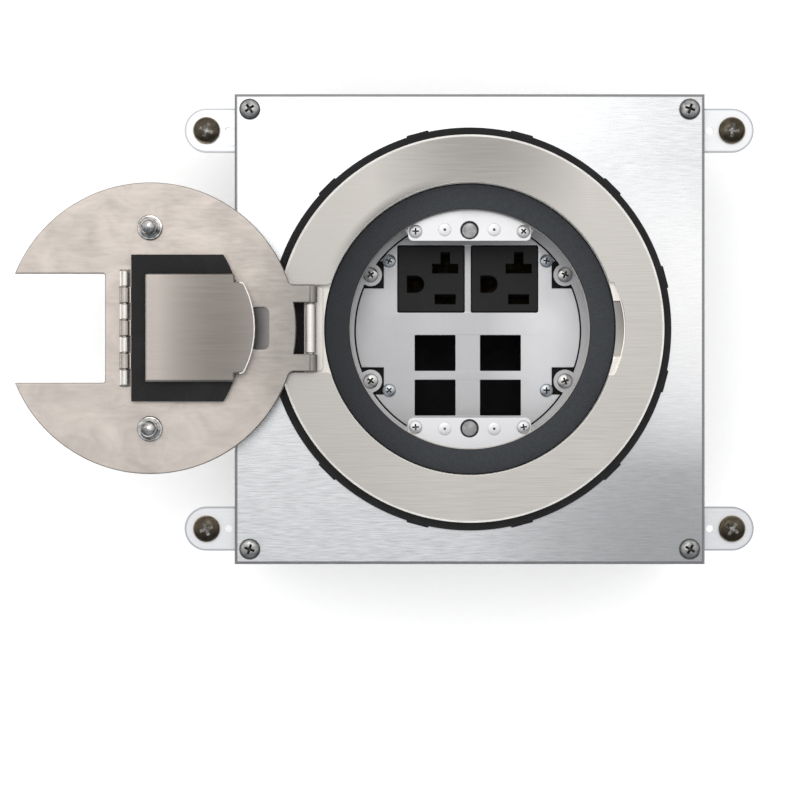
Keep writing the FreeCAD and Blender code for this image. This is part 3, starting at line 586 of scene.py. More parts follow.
def foam_grey():
    """Closed-cell foam: dull, with fine pores."""
    mat, tree, shader = new_material("foam_grey", 0.0, 0.92)
    if tree is None:
        return mat
    base = colours().foam
    pores = tree.nodes.new("ShaderNodeTexVoronoi")
    pores.inputs["Scale"].default_value = 2400.0
    tree.links.new(place_on(tree), pores.inputs["Vector"])
    grain = noise(tree, place_on(tree), 900.0, 4.0, 0.7)
    depth = calculate(tree, "ADD", calculate(tree, "MULTIPLY", pores.outputs["Distance"], 0.6), grain)
    toned = blend_colour(tree, spread(tree, depth, 0.45, 1.0), shade(base, 0.75), shade(base, 1.25))
    tree.links.new(toned, shader.inputs["Base Color"])
    add_bump(tree, shader, depth, 0.5, 0.12 * MM)
    # Painted shade: the foam is darker on the left.
    return laid_over(mat, "left", lambda tree: painted_left_shade(tree, 0.62), shade(colours().foam, 0.35))


def matte_black(name, colour, roughness, pitch, relief):
    """Moulded black rubber or plastic with a fine grain and a little dust."""
    mat, tree, shader = new_material(name, 0.0, roughness, Specular_IOR_Level=0.35)
    if tree is None:
        return mat
    grain = noise(tree, place_on(tree), pitch, 4.0, 0.65)
    dust = noise(tree, place_on(tree), 90.0, 5.0, 0.7)
    toned = blend_colour(tree, spread(tree, dust, 0.45, 0.85), colour, shade(colour, 1.9))
    tree.links.new(toned, shader.inputs["Base Color"])
    tree.links.new(spread(tree, grain, 0.3, 0.7, roughness - 0.06, roughness + 0.08),
                   shader.inputs["Roughness"])
    add_bump(tree, shader, grain, relief, 0.05 * MM)
    return mat


def rubber_black():
    return matte_black("rubber_black", colours().rubber, 0.72, 900.0, 0.35)


def outlet_black():
    return matte_black("outlet_black", colours().plastic, 0.46, 1800.0, 0.22)


def polished(name, colour, roughness, worn=0.75):
    """Plated steel of pins, studs and screws, with small scuffs."""
    mat, tree, shader = new_material(name, 1.0, roughness)
    if tree is None:
        return mat
    scuff = noise(tree, place_on(tree), 420.0, 5.0, 0.65)
    toned = blend_colour(tree, spread(tree, scuff, 0.35, 0.7), shade(colour, 1.05), shade(colour, worn))
    tree.links.new(toned, shader.inputs["Base Color"])
    tree.links.new(spread(tree, scuff, 0.3, 0.7, roughness * 0.8, roughness * 1.5),
                   shader.inputs["Roughness"])
    add_bump(tree, shader, scuff, 0.06, 0.03 * MM)
    return mat


def bright_steel():
    return polished("bright_steel", (0.74, 0.73, 0.71), 0.20)


def zinc_screw():
    return polished("zinc_screw", (0.62, 0.66, 0.70), 0.26)


def cover_screw_steel():
    # Painted shade: a dark rim round each head.
    mat = polished("cover_screw_steel", (0.54, 0.54, 0.53), 0.28, worn=0.34)
    middle = high("cover_screws").x - COVER_SCREW_R
    return painted_rim(mat, middle, middle, 2.9 * MM, 4.1 * MM, (0.10, 0.10, 0.10))


def bronze_screw():
    # Painted highlight: a lighter rim round each head.
    mat = polished("bronze_screw", shade(colours().bronze, 0.42), 0.18, worn=0.4)
    spot = high("ear_screws") - Vector((EAR_SCREW_R, EAR_SCREW_R, 0))
    return painted_rim(mat, spot.x, spot.y, 4.5 * MM, 5.0 * MM, shade(colours().bronze, 1.4))


def recess_glint():
    # Painted glint: the recess painted bright as if its walls caught the light.
    return polished("recess_glint", (0.95, 0.93, 0.90), 0.5, worn=0.05)


def chrome():
    return polished("chrome", (0.92, 0.91, 0.89), 0.09, worn=0.12)


def scoop_shade():
    # Painted shade: dark grey for the lid's finger scoop and the flap hinge's groove, darker at the
    # scoop's left.
    return brushed("scoop_shade", (0.34, 0.33, 0.32), 0.45, grain=0.5, blotch=0.10, dark=0.85,
                   painted_shade_patch=((LID_X + 41 * MM, 6 * MM), (0.0, 30 * MM), 0.80))


def recess_shade():
    # Painted shade for recesses: screw crosses, rivet dimples and the magnet's lower step.
    return polished("recess_shade", (0.13, 0.13, 0.13), 0.5, worn=0.6)


def magnet_grey():
    return polished("magnet_grey", (0.42, 0.42, 0.42), 0.38)


def brass():
    # Aged brass, darkened further as painted shade, for contacts and terminal screws deep in the outlets.
    return polished("brass", (0.035, 0.027, 0.016), 0.5)


def green_screw():
    return polished("green_screw", (0.05, 0.24, 0.09), 0.32)


# Shape building

def arc(cx, cy, r, start, end, steps=None):
    """Points on an arc from start to end, in degrees, both included."""
    count = steps or max(2, round(abs(end - start) / 360 * sizes().steps))
    angles = [math.radians(start + (end - start) * i / count) for i in range(count + 1)]
    return [(cx + r * math.cos(a), cy + r * math.sin(a)) for a in angles]


def circle(cx, cy, r, steps):
    return arc(cx, cy, r, 0, 360, steps)[:-1]


def rounded(x0, x1, y0, y1, r):
    """A rectangle with round corners, counter-clockwise."""
    corners = ((x1 - r, y0 + r, -90), (x1 - r, y1 - r, 0), (x0 + r, y1 - r, 90), (x0 + r, y0 + r, 180))
    return [point for cx, cy, start in corners
            for point in arc(cx, cy, r, start, start + 90, CORNER_STEPS)]


def rounded_about(x, y, half_x, half_y, r):
    return rounded(x - half_x, x + half_x, y - half_y, y + half_y, r)


def flipped(outline):
    return [(x, -y) for x, y in reversed(outline)]


def new_object(name, data):
    obj = bpy.data.objects.new(name, data)
    bpy.context.collection.objects.link(obj)
    return obj


def from_bmesh(name, bm):
    mesh = bpy.data.meshes.new(name)
    bmesh.ops.recalc_face_normals(bm, faces=bm.faces)
    bm.to_mesh(mesh)
    bm.free()
    return new_object(name, mesh)


def evaluated_mesh(obj):
    """A new mesh of what the object's modifiers or curve settings make."""
    bpy.context.view_layer.update()
    graph = bpy.context.evaluated_depsgraph_get()
    return bpy.data.meshes.new_from_object(obj.evaluated_get(graph), depsgraph=graph)


def applied(obj):
    """Turns what the modifiers make into the object's own mesh."""
    mesh = evaluated_mesh(obj)
    obj.modifiers.clear()
    obj.data = mesh
    return obj


def moved(obj, matrix):
    """Moves the mesh itself, so that the object stays at the origin."""
    obj.data.transform(matrix)
    return obj


def plate(name, outlines, z0, z1, edge, rounds=2):
    """A flat plate between two levels with broken edges; the outlines after the first are holes."""
    curve = bpy.data.curves.new(name, "CURVE")
    curve.dimensions = "2D"
    curve.fill_mode = "BOTH"
    curve.extrude = (z1 - z0) / 2 - edge
    curve.bevel_depth = edge
    curve.bevel_resolution = rounds
    curve.offset = -edge
    for i, outline in enumerate(outlines):
        points = list(reversed(outline)) if i else outline
        spline = curve.splines.new("POLY")
        spline.points.add(len(points) - 1)
        for point, (x, y) in zip(spline.points, points):
            point.co = (x, y, 0, 1)
        spline.use_cyclic_u = True
    shape = new_object(name, curve)
    mesh = evaluated_mesh(shape)
    bpy.data.objects.remove(shape)
    bm = bmesh.new()
    bm.from_mesh(mesh)
    bmesh.ops.remove_doubles(bm, verts=bm.verts, dist=1e-6)
    bmesh.ops.translate(bm, verts=bm.verts, vec=(0, 0, (z0 + z1) / 2))
    return from_bmesh(name, bm)


def lathe(name, outline, steps=None, cx=0.0, cy=0.0):
    """A closed outline of (radius, height) points turned about an upright axis."""
    steps = steps or sizes().steps
    bm = bmesh.new()
    rings = []
    for r, z in outline:
        if r < 1e-9:
            rings.append([bm.verts.new((cx, cy, z))] * steps)
            continue
        ring = []
        for i in range(steps):
            a = 2 * math.pi * i / steps
            ring.append(bm.verts.new((cx + r * math.cos(a), cy + r * math.sin(a), z)))
        rings.append(ring)
    for low_ring, high_ring in zip(rings, rings[1:] + rings[:1]):
        for i in range(steps):
            j = (i + 1) % steps
            corners = []
            for v in (low_ring[i], low_ring[j], high_ring[j], high_ring[i]):
                if v not in corners:
                    corners.append(v)
            if len(corners) > 2:
                bm.faces.new(corners)
    return from_bmesh(name, bm)


def round_off(outline, r, steps=5, only=None):
    """Rounds the corners of a closed outline, or only some of them."""
    result = []
    for i, corner in enumerate(outline):
        if only is not None and i not in only:
            result.append(corner)
            continue
        here = Vector(corner)
        before = Vector(outline[i - 1]) - here
        after = Vector(outline[(i + 1) % len(outline)]) - here
        half = before.angle(after) / 2
        reach = min(r / math.tan(half), before.length * 0.45, after.length * 0.45)
        a, b = here + before.normalized() * reach, here + after.normalized() * reach
        for s in range(steps + 1):
            t = s / steps
            point = a * (1 - t) ** 2 + here * 2 * t * (1 - t) + b * t ** 2
            result.append((point.x, point.y))
    return result


def barrel(name, x, z, r, y0, y1, steps=40):
    """A cylinder along Y with broken ends."""
    width = min(sizes().edge, r * 0.3)
    half = (y1 - y0) / 2
    outline = [(0, -half), (r - width, -half), (r, -half + width), (r, half - width), (r - width, half),
               (0, half)]
    obj = lathe(name, outline, steps)
    turn = Matrix.Rotation(math.radians(90), 4, "X")
    return moved(obj, Matrix.Translation((x, (y0 + y1) / 2, z)) @ turn)


def cut(obj, *tools):
    """Cuts the tools out of the object and throws them away; a painted tool paints its cut."""
    for tool in tools:
        step = obj.modifiers.new("cut", "BOOLEAN")
        step.operation = "DIFFERENCE"
        step.solver = "EXACT"
        step.material_mode = "TRANSFER" if tool.data.materials else "INDEX"
        step.object = tool
        applied(obj)
        bpy.data.objects.remove(tool)
    return obj


def broken_edges(obj, width, angle):
    """Rounds the edges that are sharper than the angle."""
    step = obj.modifiers.new("broken edges", "BEVEL")
    step.width = width
    step.segments = 2
    step.limit_method = "ANGLE"
    step.angle_limit = math.radians(angle)
    return obj


def together(name, objs):
    """One object from several, each of which keeps its own material."""
    mesh = bpy.data.meshes.new(name)
    bm = bmesh.new()
    materials = []
    for obj in objs:
        first = len(bm.faces)
        bm.from_mesh(obj.data)
        bm.faces.ensure_lookup_table()
        own = list(obj.data.materials)
        materials += [m for m in own if m not in materials]
        for face in bm.faces[first:]:
            if own:
                face.material_index = materials.index(own[min(face.material_index, len(own) - 1)])
        bpy.data.objects.remove(obj)
    bm.to_mesh(mesh)
    bm.free()
    for m in materials:
        mesh.materials.append(m)
    return new_object(name, mesh)


def painted(obj, material):
    obj.data.materials.clear()
    obj.data.materials.append(material)
    return obj


def smooth_by_angle(obj):
    for polygon in obj.data.polygons:
        polygon.use_smooth = True
    obj.data.set_sharp_from_angle(angle=math.radians(SMOOTH_ANGLE))


def finish(obj, body, slot, nodes, material=None):
    """Gives a finished piece its material and its body, and hides the CAD nodes it stands for."""
    if material:
        painted(obj, material)
    smooth_by_angle(obj)
    even = obj.modifiers.new("even", "WEIGHTED_NORMAL")
    even.keep_sharp = True
    applied(obj)
    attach(obj, body)
    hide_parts(*nodes)
    return obj


# Repeated pieces

def placing_tree():
    """Node group that sets one piece at every point, with a size, a turn of its own and a material."""
    name = "Set at points"
    if name in bpy.data.node_groups:
        return bpy.data.node_groups[name]
    tree = bpy.data.node_groups.new(name, "GeometryNodeTree")
    face = tree.interface
    inputs = (
        ("Geometry", "Geometry", "Points that carry the way each piece looks", None),
        ("Piece", "Object", "Object that is set at every point", None),
        ("Size", "Float", "Scale of every piece", 1.0),
        ("Turn", "Float", "Largest turn about the piece's own axis, in radians", math.pi),
        ("Seed", "Int", "Seed of the turns", 0),
        ("Material", "Material", "Material of every piece", None),
    )
    for label, kind, what, value in inputs:
        socket = face.new_socket(label, description=what, in_out="INPUT", socket_type="NodeSocket" + kind)
        if value is not None:
            socket.default_value = value
    face.new_socket("Geometry", in_out="OUTPUT", socket_type="NodeSocketGeometry")
    enter = tree.nodes.new("NodeGroupInput")
    leave = tree.nodes.new("NodeGroupOutput")
    info = tree.nodes.new("GeometryNodeObjectInfo")
    points = tree.nodes.new("GeometryNodeInstanceOnPoints")
    way = tree.nodes.new("GeometryNodeInputNamedAttribute")
    way.data_type = "FLOAT_VECTOR"
    way.inputs["Name"].default_value = "way"
    aim = tree.nodes.new("FunctionNodeAlignRotationToVector")
    aim.axis = "Z"
    chance = tree.nodes.new("FunctionNodeRandomValue")
    chance.data_type = "FLOAT"
    spin = tree.nodes.new("ShaderNodeCombineXYZ")
    own_turn = tree.nodes.new("GeometryNodeRotateInstances")
    own_turn.inputs["Local Space"].default_value = True
    real = tree.nodes.new("GeometryNodeRealizeInstances")
    dress = tree.nodes.new("GeometryNodeSetMaterial")
    links = (
        (enter, "Piece", info, "Object"),
        (enter, "Geometry", points, "Points"),
        (info, "Geometry", points, "Instance"),
        (way, "Attribute", aim, "Vector"),
        (aim, "Rotation", points, "Rotation"),
        (enter, "Size", points, "Scale"),
        (enter, "Turn", chance, 3),
        (enter, "Seed", chance, "Seed"),
        (chance, 1, spin, "Z"),
        (points, "Instances", own_turn, "Instances"),
        (spin, "Vector", own_turn, "Rotation"),
        (own_turn, "Instances", real, "Geometry"),
        (real, "Geometry", dress, "Geometry"),
        (enter, "Material", dress, "Material"),
        (dress, "Geometry", leave, "Geometry"),
    )
    for giver, result, taker, socket in links:
        tree.links.new(giver.outputs[result], taker.inputs[socket])
    return tree


def set_at(node, piece, places, material, turn=0.0, seed=0, body="box", slot="bright_steel"):
    """One object for a node, with the piece at each place: a point and the way its axis looks."""
    name = node + "_visual"
    mesh = bpy.data.meshes.new(name)
    mesh.from_pydata([tuple(point) for point, way in places], [], [])
    obj = new_object(name, mesh)
    ways = obj.data.attributes.new("way", "FLOAT_VECTOR", "POINT")
    for item, (point, way) in zip(ways.data, places):
        item.vector = way
    step = obj.modifiers.new("places", "NODES")
    step.node_group = placing_tree()
    values = {"Piece": piece, "Size": 1.0, "Turn": turn, "Seed": seed, "Material": material}
    for item in step.node_group.interface.items_tree:
        if item.item_type == "SOCKET" and item.in_out == "INPUT" and item.name in values:
            step[item.identifier] = values[item.name]
    obj.update_tag()
    applied(obj)
    bpy.data.objects.remove(piece)
    # Painted light in the recesses: a painted glint in the ear screws, painted shade in the others.
    marks = obj.data.attributes.get("recess")
    if marks:
        obj.data.materials.append(recess_glint() if slot == "bronze_screw" else recess_shade())
        for face, mark in zip(obj.data.polygons, marks.data):
            if mark.value:
                face.material_index = len(obj.data.materials) - 1
    return finish(obj, body, slot, [node])


def marked(piece, deep):
    """Marks the faces that lie in the piece's recess, which get a material of their own."""
    marks = piece.data.attributes.new("recess", "BOOLEAN", "FACE")
    for face, mark in zip(piece.data.polygons, marks.data):
        mark.value = deep(Vector(face.center))
    return piece


# Pieces of the ring and the well

def trim_ring():
    """Trim ring with its neck, its ledge, the hinge notch and the finger notch."""
    outer, recess = sizes().trim_radius, sizes().recess_radius
    ledge, ledge_top = sizes().ledge_bore, low("lid_gasket").z
    neck_low = low("trim_ring").z
    bevel = 0.8 * MM
    outline = [(recess, TRIM_TOP), (outer - bevel, TRIM_TOP), (outer, TRIM_TOP - bevel), (outer, TRIM_LOW),
               (NECK_R, TRIM_LOW), (NECK_R, neck_low), (recess, neck_low), (recess, LEDGE_LOW),
               (ledge, LEDGE_LOW), (ledge, ledge_top), (recess, ledge_top)]
    ring = painted(lathe("trim_ring_visual", round_off(outline, 0.35 * MM, 4)), stainless_ring())
    cut(ring, *notch_tools(outer, recess))
    applied(broken_edges(ring, 0.22 * MM, 35))
    brighten_edges(ring, outer - bevel, recess)
    return finish(ring, "box", "stainless", ["trim_ring"])


def notch_tools(outer, recess):
    """Hinge notch, finger notch, its scoop, and the relief that lets the lid's tabs pass."""
    floor, top = low("ring_hinge_leaf").z, TRIM_TOP + CUT_ABOVE
    hinge = plate("hinge notch", [notch_outline(outer, recess)], floor, top, CUT_EDGE)
    seat, scoop_floor = TRIM_TOP - SEAT_DROP, TRIM_TOP - RING_SCOOP_DROP
    finger = sector("finger notch", FINGER_BEND, FINGER_HALF, recess - 5 * MM, seat, top)
    scoop = sector("scoop", RING_SCOOP_BEND, RING_SCOOP_HALF, recess - 1.4 * MM, scoop_floor, top)
    relief_end = low("ring_hinge_leaf").x - 0.4 * MM
    half = HINGE_NOTCH_HALF - 0.05 * MM
    slot = rounded(-outer - 5 * MM, relief_end, -half, half, 0.1 * MM)
    relief = plate("relief", [slot], TRIM_LOW - 1 * MM, top, CUT_EDGE)
    # The cuts take painted light: a lighter hinge floor, a lighter seat and a shaded scoop.
    metals = (stainless_leaf_lit(), stainless_lit(), notch_shade(), stainless_ring())
    return [painted(tool, metal) for tool, metal in zip((hinge, finger, scoop, relief), metals)]


def brighten_edges(ring, rim_start, recess):
    """Paints the ring's outer bevel and the upper part of its recess, down to the seat, with a painted
    highlight.
    """
    ring.data.materials.append(painted_edge_highlight("ring_edge_highlight", 0.84))
    wall_low = TRIM_TOP - SEAT_DROP - 1.5 * MM
    for face in ring.data.polygons:
        away, up = face.center.xy.length, face.normal.z
        rim = away > rim_start - 0.15 * MM and 0.3 < up < FACES_UP
        wall = away < recess + 0.4 * MM and face.center.z > wall_low and -0.2 < up < FACES_UP
        if rim or wall:
            face.material_index = len(ring.data.materials) - 1


def notch_outline(outer, recess):
    """Notch that flares where it meets the ring's outer and inner circles, so that the ends are round."""
    end_r, inner_r = NOTCH_END_R, 2.0 * MM
    half = HINGE_NOTCH_HALF
    far_x = -math.sqrt((outer - end_r) ** 2 - (half + end_r) ** 2)
    near_x = -math.sqrt((recess + inner_r) ** 2 - (half + inner_r) ** 2)
    far_turn = math.degrees(math.atan2(half + end_r, -far_x))
    near_turn = math.degrees(math.atan2(half + inner_r, -near_x))
    upper = arc(far_x, half + end_r, end_r, 180 - far_turn, 270, 10)
    upper += arc(near_x, half + inner_r, inner_r, -90, -near_turn, 8)
    out = [(-outer - 2 * MM, half + end_r)]
    inside = [(near_x + inner_r + 8 * MM, half + inner_r - 1.5 * MM)]
    top_side = out + upper + inside
    return [(x, -y) for x, y in top_side] + list(reversed(top_side))


def sector(name, r, half, start, z0, z1):
    """A block at the right of the ring whose far side is bent, so that it thins out at its ends."""
    reach = math.degrees(math.asin(half / r))
    outline = [(start, -half)] + arc(FINGER_R - FINGER_BEND, 0, r, -reach, reach, 32) + [(start, half)]
    return plate(name, [outline], z0, z1, CUT_EDGE)


def carpet_ring():
    """Black ring under the trim ring, with nubs round its edge."""
    z0, z1 = low("carpet_ring").z, high("carpet_ring").z
    bore, r = NECK_R + 0.4 * MM, high("carpet_ring").x
    ring = lathe("carpet ring", round_off([(bore, z0), (r, z0), (r, z1), (bore, z1)], 0.5 * MM, 4))
    nub_top = z0 + (z1 - z0) * 0.6
    nub_half, nub_reach = 4.5 * MM, 0.55 * MM
    outline = rounded(r - 2 * MM, r + nub_reach, -nub_half, nub_half, 0.5 * MM)
    nubs = []
    for i in range(CARPET_NUBS):
        nub = plate("nub", [outline], z0, nub_top, 0.2 * MM)
        nubs.append(moved(nub, Matrix.Rotation((i + 0.5) * 2 * math.pi / CARPET_NUBS, 4, "Z")))
    ring = together("carpet_ring_visual", [ring] + nubs)
    return finish(ring, "box", "black_rubber", ["carpet_ring"], rubber_black())


def foam_ring():
    """Foam seal on the ledge, with rounded edges."""
    z0, z1 = low("lid_gasket").z, high("lid_gasket").z
    r0, r1 = sizes().foam_bore, FOAM_R
    ring = lathe("lid_gasket_visual", round_off([(r0, z0), (r1, z0), (r1, z1), (r0, z1)], 0.6 * MM, 5))
    return finish(ring, "box", "grey_foam", ["lid_gasket"], foam_grey())


def hinge_leaf():
    """Leaf in the ring's notch, its knuckle and the pin."""
    a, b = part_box("ring_hinge_leaf")
    half, thick = LID_TAB_Y[0] - KNUCKLE_GAP, 1.2 * MM
    leaf = plate("leaf", [rounded(a.x, b.x, -b.y, b.y, 1.2 * MM)], a.z, a.z + thick, 0.15 * MM)
    web = plate("web", [rounded_about(HINGE.x, 0, 1.3 * MM, half, 0.2 * MM)], a.z, HINGE.z, 0.1 * MM)
    knuckle = barrel("knuckle", HINGE.x, HINGE.z, LEAF_KNUCKLE_R, -half, half)
    # Painted light: lighter copies of the stainless for the leaf and the knuckle.
    painted(leaf, stainless_leaf_lit())
    painted(web, stainless_ring())
    painted(knuckle, stainless_lit())
    leaf = together("ring_hinge_leaf_visual", [leaf, web, knuckle])
    finish(leaf, "box", "stainless", ["ring_hinge_leaf"])
    a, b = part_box("lid_hinge_pin")
    pin = barrel("lid_hinge_pin_visual", HINGE.x, HINGE.z, LID_PIN_R, a.y, b.y)
    return finish(pin, "lid", "bright_steel", ["lid_hinge_pin"], bright_steel())


def catch_plates():
    """Two crescents in the well's mouth, each with a hole over a magnet."""
    a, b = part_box("catch_plate_upper")
    reach = math.degrees(math.acos(b.x / b.y))
    outline = [(-b.x, a.y), (b.x, a.y)] + arc(0, 0, b.y, reach, 180 - reach, 40)
    outline = round_off(outline, 2.4 * MM, 5, only=(0, 1, 2, len(outline) - 1))
    hole = circle(0, STUD_Y, CATCH_HOLE_R, 40)
    for side, name in ((1, "upper"), (-1, "lower")):
        outlines = [outline, hole] if side > 0 else [flipped(outline), flipped(hole)]
        crescent = plate("catch_plate_%s_visual" % name, outlines, a.z, b.z, 0.15 * MM)
        finish(crescent, "box", "silver_paint", ["catch_plate_" + name], catch_silver())
        catch_magnet("catch_magnet_" + name, side * STUD_Y)


def catch_magnet(node, y):
    """Stepped magnet with painted shade below the face that shows in the crescent's hole."""
    z0, z1, r = low(node).z, high(node).z, high(node).x
    face_r, step = 3.05 * MM, 0.9 * MM
    outline = [(0, z0), (r, z0), (r, z1 - step), (face_r, z1 - step), (face_r, z1), (0, z1)]
    outline = round_off(outline, 0.3 * MM, 4, only=(1, 2, 4))
    magnet = painted(lathe(node + "_visual", outline, 64, 0, y), magnet_grey())
    magnet.data.materials.append(recess_shade())
    for face in magnet.data.polygons:
        if face.center.z < z1 - step / 2:
            face.material_index = 1
    return finish(magnet, "box", "magnet", [node])


def device_plate():
    """Round plate of the well with its four notches, two outlet windows and four data openings."""
    r, corner = high("device_plate").x, 0.6 * MM
    x0, half = LUG_NOTCH_X, LUG_NOTCH_HALF
    upper = high("lug_screws").y - LUG_SCREW_R
    lower = low("lug_screws").y + LUG_SCREW_R
    ends = [lower - half, lower + half, upper - half, upper + half]
    turns = [math.degrees(math.asin(y / r)) for y in ends]
    outline = arc(0, 0, r, turns[1], turns[2], 40) + [(x0, ends[2]), (x0, ends[3])]
    outline += arc(0, 0, r, turns[3], 180 - turns[3], 60) + [(-x0, ends[3]), (-x0, ends[2])]
    outline += arc(0, 0, r, 180 - turns[2], 180 - turns[1], 40) + [(-x0, ends[1]), (-x0, ends[0])]
    outline += arc(0, 0, r, 180 - turns[0], 360 + turns[0], 60) + [(x0, ends[0]), (x0, ends[1])]
    holes = []
    window = OUTLET_HALF + 0.2 * MM
    for name in ("outlet_face_left", "outlet_face_right"):
        holes.append(rounded_about(*centre(name), window, window, corner))
    for x in (-DATA_X, DATA_X):
        for row in DATA_ROWS:
            holes.append(rounded_about(x, row, DATA_W / 2, DATA_H / 2, 0.3 * MM))
    disc = plate("device_plate_visual", [outline] + holes, PLATE_LOW, PLATE_TOP, 0.18 * MM)
    return finish(disc, "box", "silver_paint", ["device_plate"], satin_silver("satin_plate", 0.94, 0.42))


def outlet_faces():
    """Moulded faces of the two outlets, with a tee slot, a straight slot and an earth slot."""
    corner, below, clear = 1.0 * MM, 0.5 * MM, 0.02 * MM
    for node in ("outlet_face_left", "outlet_face_right"):
        a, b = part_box(node)
        x, y = centre(node)
        slots = [slot_outline(x, y, corners) for corners in (TEE_SLOT, STRAIGHT_SLOT)]
        slots.append(earth_outline(x, y))
        front = rounded_about(x, y, OUTLET_HALF, OUTLET_HALF, corner)
        back = rounded_about(x, y, (b.x - a.x) / 2, (b.y - a.y) / 2, corner)
        face = plate("face", [front] + slots, PLATE_LOW - below, b.z, 0.4 * MM, 3)
        shoulder = plate("shoulder", [back] + slots, a.z, PLATE_LOW - clear, 0.1 * MM)
        face = together(node + "_visual", [face, shoulder])
        finish(face, "box", "black_plastic", [node], outlet_black())


def slot_outline(x, y, corners):
    return [(x + px * MM, y + py * MM) for px, py in corners]


def earth_outline(x, y):
    """Round towards the slots and flat away from them."""
    x0, x1, y0, y1 = (v * MM for v in EARTH_SLOT)
    nose = arc(x + x1, y + (y0 + y1) / 2, (y1 - y0) / 2, -90, 90, 24)
    return [(x + x0, y + y0)] + nose + [(x + x0, y + y1)]


# Pieces of the lid and the flap

def tab_side():
    """Upper side of the upper hinge tab: from the hinge axis, round the fillet, to the lid's rim."""
    r, fillet = sizes().lid_radius, TAB_FILLET_R
    y = LID_TAB_Y[1]
    cy = y + fillet
    cx = LID_X + math.sqrt((r + fillet) ** 2 - cy ** 2)
    turn = math.degrees(math.atan2(cy, cx - LID_X))
    return [(HINGE.x, y)] + arc(cx, cy, fillet, 270, 180 + turn, 10), turn


def lid_outline():
    """The lid from above, with its cable notch towards the left and its tabs on the hinge axis."""
    r, notch = sizes().lid_radius, sizes().notch_half
    tab_in = LID_TAB_Y[0]
    notch_turn = math.degrees(math.asin(notch / r))
    key_turn = math.degrees(math.asin(tab_in / r))
    notch_x = LID_X - NOTCH_START
    side, tab_turn = tab_side()
    upper = [(HINGE.x, tab_in)] + side + arc(LID_X, 0, r, tab_turn, 180 - notch_turn)[1:]
    corners = (len(upper), len(upper) + 1)
    outline = upper + [(notch_x, notch), (notch_x, -notch)]
    outline += arc(LID_X, 0, r, 180 + notch_turn, 360 - tab_turn)[:-1]
    outline += [(x, -y) for x, y in reversed(side)] + [(HINGE.x, -tab_in)]
    outline += arc(LID_X, 0, r, -key_turn, key_turn, 20)
    return round_off(outline, 1.0 * MM, 5, only=corners)


def lid_tools():
    """Groove of the flap hinge, and the finger scoop with its sloping floor."""
    top = LID_FACE + CUT_ABOVE
    half = high("flap_hinge_pin").y + 0.4 * MM
    groove_outline = rounded(FLAP_HINGE.x - 2.25 * MM, FLAP_HINGE.x + 2.4 * MM, -half, half, 0.4 * MM)
    groove = plate("groove", [groove_outline], LID_FACE - 0.8 * MM, top, CUT_EDGE)
    x0, x1 = LID_X + 39.2 * MM, LID_X + 46.6 * MM
    scoop_outline = rounded(x0, x1, -LID_SCOOP_HALF, LID_SCOOP_HALF, 2.4 * MM)
    scoop = plate("scoop", [scoop_outline], LID_FACE - 1.4 * MM, top, CUT_EDGE)
    rise = 0.9 * MM
    for vertex in scoop.data.vertices:
        if vertex.co.z < LID_FACE:
            vertex.co.z += rise * (vertex.co.x - x0) / (x1 - x0)
    return [painted(tool, scoop_shade()) for tool in (groove, scoop)]


def lid_plate():
    """Round lid with its cable notch, hinge tabs, finger scoop and the groove of the flap hinge."""
    lid = painted(plate("lid", [lid_outline()], LID_LOW, LID_FACE, 0.5 * MM, 3), stainless_lid())
    # The downward faces take the outer stainless and the side faces a painted shade.
    lid.data.materials.append(stainless_outer())
    lid.data.materials.append(lid_rim_shade())
    for face in lid.data.polygons:
        if face.normal.z < FACES_UP:
            face.material_index = 1 if face.normal.z < -0.5 else 2
    cut(lid, *lid_tools())
    inner, outer = LID_TAB_Y
    knuckles = [barrel("knuckle", HINGE.x, HINGE.z, LID_KNUCKLE_R, y0, y1)
                for y0, y1 in ((-outer, -inner), (inner, outer))]
    lid = together("lid_plate_visual", [lid] + [painted(piece, stainless_lid()) for piece in knuckles])
    return finish(lid, "lid", "stainless", ["lid_plate"])


def flap_pieces():
    """Cable flap: stainless plate, black seal, backing sheet and the seven knuckles."""
    flap_plate()
    flap_seal()
    flap_backing()
    flap_hinge()


def flap_plate():
    """Outer plate; its tip has the bend of the ring's finger notch."""
    a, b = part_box("flap_plate")
    bend = b.x - FLAP_MIDDLE - (FINGER_R - FINGER_BEND)
    middle = b.x - bend
    corner_x = middle + math.sqrt(bend ** 2 - BUMP_HALF ** 2)
    corner_room = 8.0
    turn = math.degrees(math.asin(BUMP_HALF / bend)) - corner_room
    tip = [(corner_x, -BUMP_HALF)] + arc(middle, 0, bend, -turn, turn, 40) + [(corner_x, BUMP_HALF)]
    shoulder = FLAP_HINGE.x + 43 * MM
    lower = [(a.x, -b.y), (shoulder, -b.y), (shoulder, -BUMP_HALF)]
    upper = [(shoulder, BUMP_HALF), (shoulder, b.y), (a.x, b.y)]
    first, last = len(lower), len(lower) + len(tip) - 1
    outline = round_off(lower + tip + upper, 5.4 * MM, 10, only=(first, last))
    outline = round_off(outline, 0.8 * MM, 4, only=(0, 1, len(outline) - 2, len(outline) - 1))
    flap = painted(plate("flap_plate_visual", [outline], a.z, b.z, 0.8 * MM, 3), stainless_flap_shaded())
    # Painted highlight on the bevel of the tip.
    flap.data.materials.append(painted_edge_highlight())
    for face in flap.data.polygons:
        if 0.1 < face.normal.z < FACES_UP and face.center.x > shoulder + 1 * MM:
            face.material_index = 1
    return finish(flap, "flap", "stainless", ["flap_plate"])


